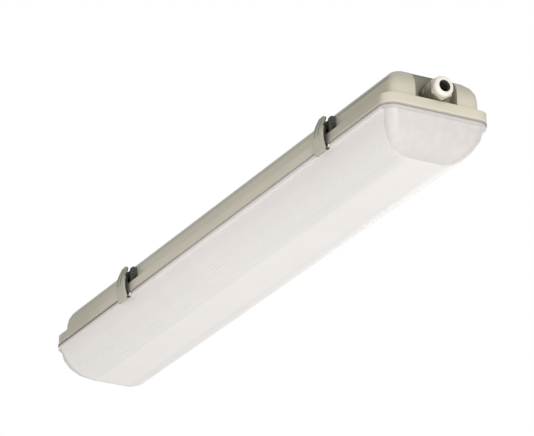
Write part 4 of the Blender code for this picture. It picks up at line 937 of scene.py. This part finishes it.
def dress_spring(node, middle_x, side):
    """The dark spring leaf that lines the inside of a clip's plate; its near-black colour also stands in
    for the shade in the gap behind the plate.
    """
    leaf = merged_copy(node)
    leaf.name = node.replace("clip", "clip_spring")

    def not_lining(centre, normal):
        inside = normal.y * side < -SPRING_FACING and abs(centre.y) > HALF_WIDTH
        return not (inside and SPRING_LOW_Z < centre.z < SPRING_HIGH_Z)

    pick_faces(leaf, not_lining)
    bpy.ops.mesh.delete(type="FACE")
    bpy.ops.mesh.select_all(action="SELECT")
    bpy.ops.transform.resize(value=(SPRING_SHARE, 1.0, 1.0), center_override=(middle_x, 0.0, 0.0))
    bpy.ops.transform.shrink_fatten(value=SKIN_GAP)
    leave()
    with_modifier(leaf, "SOLIDIFY", thickness=SPRING_THICKNESS, offset=1.0)
    ride_on(leaf, BODY_OF[node], "bracket_grey", "spring_dark")


def dress_clip(hand, end):
    node = f"clip_{hand}_{end}"
    low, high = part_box(node)
    side = math.copysign(1.0, low.y)
    middle_x = (low.x + high.x) / 2
    clip = merged_copy(node)
    shape_tongue(clip, middle_x, high.z)
    soften_edges(clip, CLIP_ROUND)
    press_grooves(clip, middle_x, side, high.z - GROOVE_BELOW_TIP)
    stand_for(clip, node)
    dress_spring(node, middle_x, side)
    bracket = f"bracket_{hand}_{end}"
    stand_for(soften_edges(merged_copy(bracket), BRACKET_ROUND), bracket)
    pin = f"clip_pin_{hand}_{end}"
    stand_for(soften_edges(merged_copy(pin), PIN_ROUND), pin, "pin_steel")


def dress_clips():
    for end in CLIP_ENDS:
        for hand in CLIP_HANDS:
            dress_clip(hand, end)
            dress_rim_lugs(hand, end)


# Gland and screws

def nut_hexagon():
    """The hexagon round the nut, with one corner straight down."""
    middle = (HEX_START + HEX_LENGTH / 2, 0.0, GLAND_Z)
    bpy.ops.mesh.primitive_cylinder_add(
        vertices=6, radius=HEX_RADIUS, depth=HEX_LENGTH, location=middle, rotation=(0.0, math.pi / 2, 0.0)
    )
    hexagon = place_in_mesh(bpy.context.object, "nut_hexagon")
    shape(hexagon)
    bpy.ops.mesh.select_all(action="SELECT")
    bpy.ops.transform.rotate(value=math.pi / 6, orient_axis="X", center_override=middle)
    leave()
    return soften_edges(hexagon, HEX_ROUND)


def dress_gland_nut():
    """The domed nut: a turned sleeve with a round nose, a hexagon round it, and the bore cut through."""
    back = nut_low.x
    front = nut_high.x
    profile = [
        (back, NUT_WIDE - NUT_CHAMFER),
        (back + NUT_CHAMFER, NUT_WIDE),
        (front - NOSE_LENGTH, NUT_WIDE),
    ]
    for step in range(1, NOSE_STEPS + 1):
        angle = math.pi / 2 * step / NOSE_STEPS
        along = front - NOSE_LENGTH * (1 - math.sin(angle))
        profile.append((along, NOSE_RADIUS + (NUT_WIDE - NOSE_RADIUS) * math.cos(angle)))
    nut = turned("gland_nut_skin", profile)
    combine(nut, nut_hexagon(), "UNION")
    lip = front - NUT_LIP
    bore = [
        (back - BORE_OVERRUN, NUT_BORE),
        (lip, NUT_BORE),
        (lip, MOUTH_RADIUS),
        (front + BORE_OVERRUN, MOUTH_RADIUS),
    ]
    combine(nut, turned("nut_bore", bore), "DIFFERENCE")

    def on_mouth(point):
        return point.x > front - NEAR

    soften_edges(nut, MOUTH_ROUND, 3, on_mouth, clamp=False)
    stand_for(nut, "gland_nut")


def dress_gland_seal():
    """The rubber insert: a collar behind the nut's mouth and a sleeve down into the gland's bore."""
    back = insert_low.x
    front = insert_high.x
    profile = [
        (back - SEAL_DEPTH, SEAL_BORE),
        (back - SEAL_DEPTH, SEAL_SLEEVE),
        (back, SEAL_SLEEVE),
        (back, SEAL_RADIUS),
        (front, SEAL_RADIUS),
        (front, SEAL_FLARE),
        (front - SEAL_FLARE_DEPTH, SEAL_BORE),
    ]
    stand_for(turned("gland_insert_skin", profile, bored=True), "gland_insert")


def dress_screws():
    """The ballast's screws, with crossed slots in their heads."""
    length, width, depth = SCREW_SLOT
    for node in ("ballast_screw_1", "ballast_screw_2"):
        low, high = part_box(node)
        middle = ((low.x + high.x) / 2, 0.0, low.z)
        screw = merged_copy(node)
        for size in ((length, width, depth), (width, length, depth)):
            combine(screw, block("screw_slot", middle, size), "DIFFERENCE")
        stand_for(screw, node)


def dress_the_rest():
    """Nodes whose own shape is right get their finish, and most of them rounded edges."""
    for node, slot in SLOT_OF.items():
        give_finish(frame["nodes"][node], slot)
        if node in ROUNDED:
            stand_for(soften_edges(merged_copy(node), ROUNDED[node]), node)
        elif not node.startswith(OWN_SHAPES):
            stand_for(merged_copy(node), node)


# Room and camera

def make_camera():
    bpy.ops.object.camera_add(location=CAMERA_PLACE)
    camera = bpy.context.object
    camera.name = "photo_camera"
    back = CAMERA_RIGHT.cross(CAMERA_UP)
    turn = Matrix((CAMERA_RIGHT, CAMERA_UP, back)).transposed()
    camera.rotation_euler = turn.to_euler()
    camera.data.sensor_width = CAMERA_SENSOR
    camera.data.lens = CAMERA_LENS
    camera.data.shift_x = -HALF_PIXEL
    camera.data.shift_y = HALF_PIXEL
    camera.data.clip_end = CAMERA_REACH
    bpy.context.scene.camera = camera


def make_lights():
    """Soft lights, all aimed at the middle of the joint."""
    target = Vector((0.0, 0.0, JOINT_Z))
    for name, place, size, power in LIGHTS:
        bpy.ops.object.light_add(type="AREA", location=place)
        light = bpy.context.object
        light.name = name
        light.data.size = size
        light.data.energy = power
        light.rotation_euler = (target - light.location).to_track_quat("-Z", "Y").to_euler()


def make_world():
    """A plain white room, whose light on the object is weaker than what the camera and reflections see."""
    world = bpy.data.worlds.new("plain_room")
    bpy.context.scene.world = world
    world.use_nodes = True
    room = NodeTree(world.node_tree)
    direct, glossy, through = (
        room.node("ShaderNodeLightPath", {}, {}, label)
        for label in ("Is Camera Ray", "Is Glossy Ray", "Is Transmission Ray")
    )
    background = world.node_tree.nodes["Background"]
    room.feed(background.inputs["Color"], rgb(1.0, 1.0, 1.0))
    seen = direct | glossy | through
    room.feed(background.inputs["Strength"], WORLD_STRENGTH + (1.0 - WORLD_STRENGTH) * seen)


def make_floor():
    bpy.ops.mesh.primitive_plane_add(size=ROOM_FLOOR_SIZE, location=(0.0, 0.0, ROOM_FLOOR_Z))
    floor = bpy.context.object
    floor.name = "floor"
    finish = Finish("floor_paper", 0.8)
    shade = finish.noise(3.0, 3.0)
    finish.set("Base Color", finish.blend(rgb(0.9, 0.9, 0.9), rgb(0.87, 0.87, 0.87), shade))
    floor.data.materials.append(finish.material)


bpy.context.scene.view_settings.view_transform = "Standard"
make_camera()
make_lights()
make_world()
make_floor()
dress_the_rest()
dress_housing()
dress_gasket()
dress_diffuser()
dress_clips()
dress_gland_nut()
dress_gland_seal()
dress_screws()

bpy.ops.object.select_all(action="DESELECT")
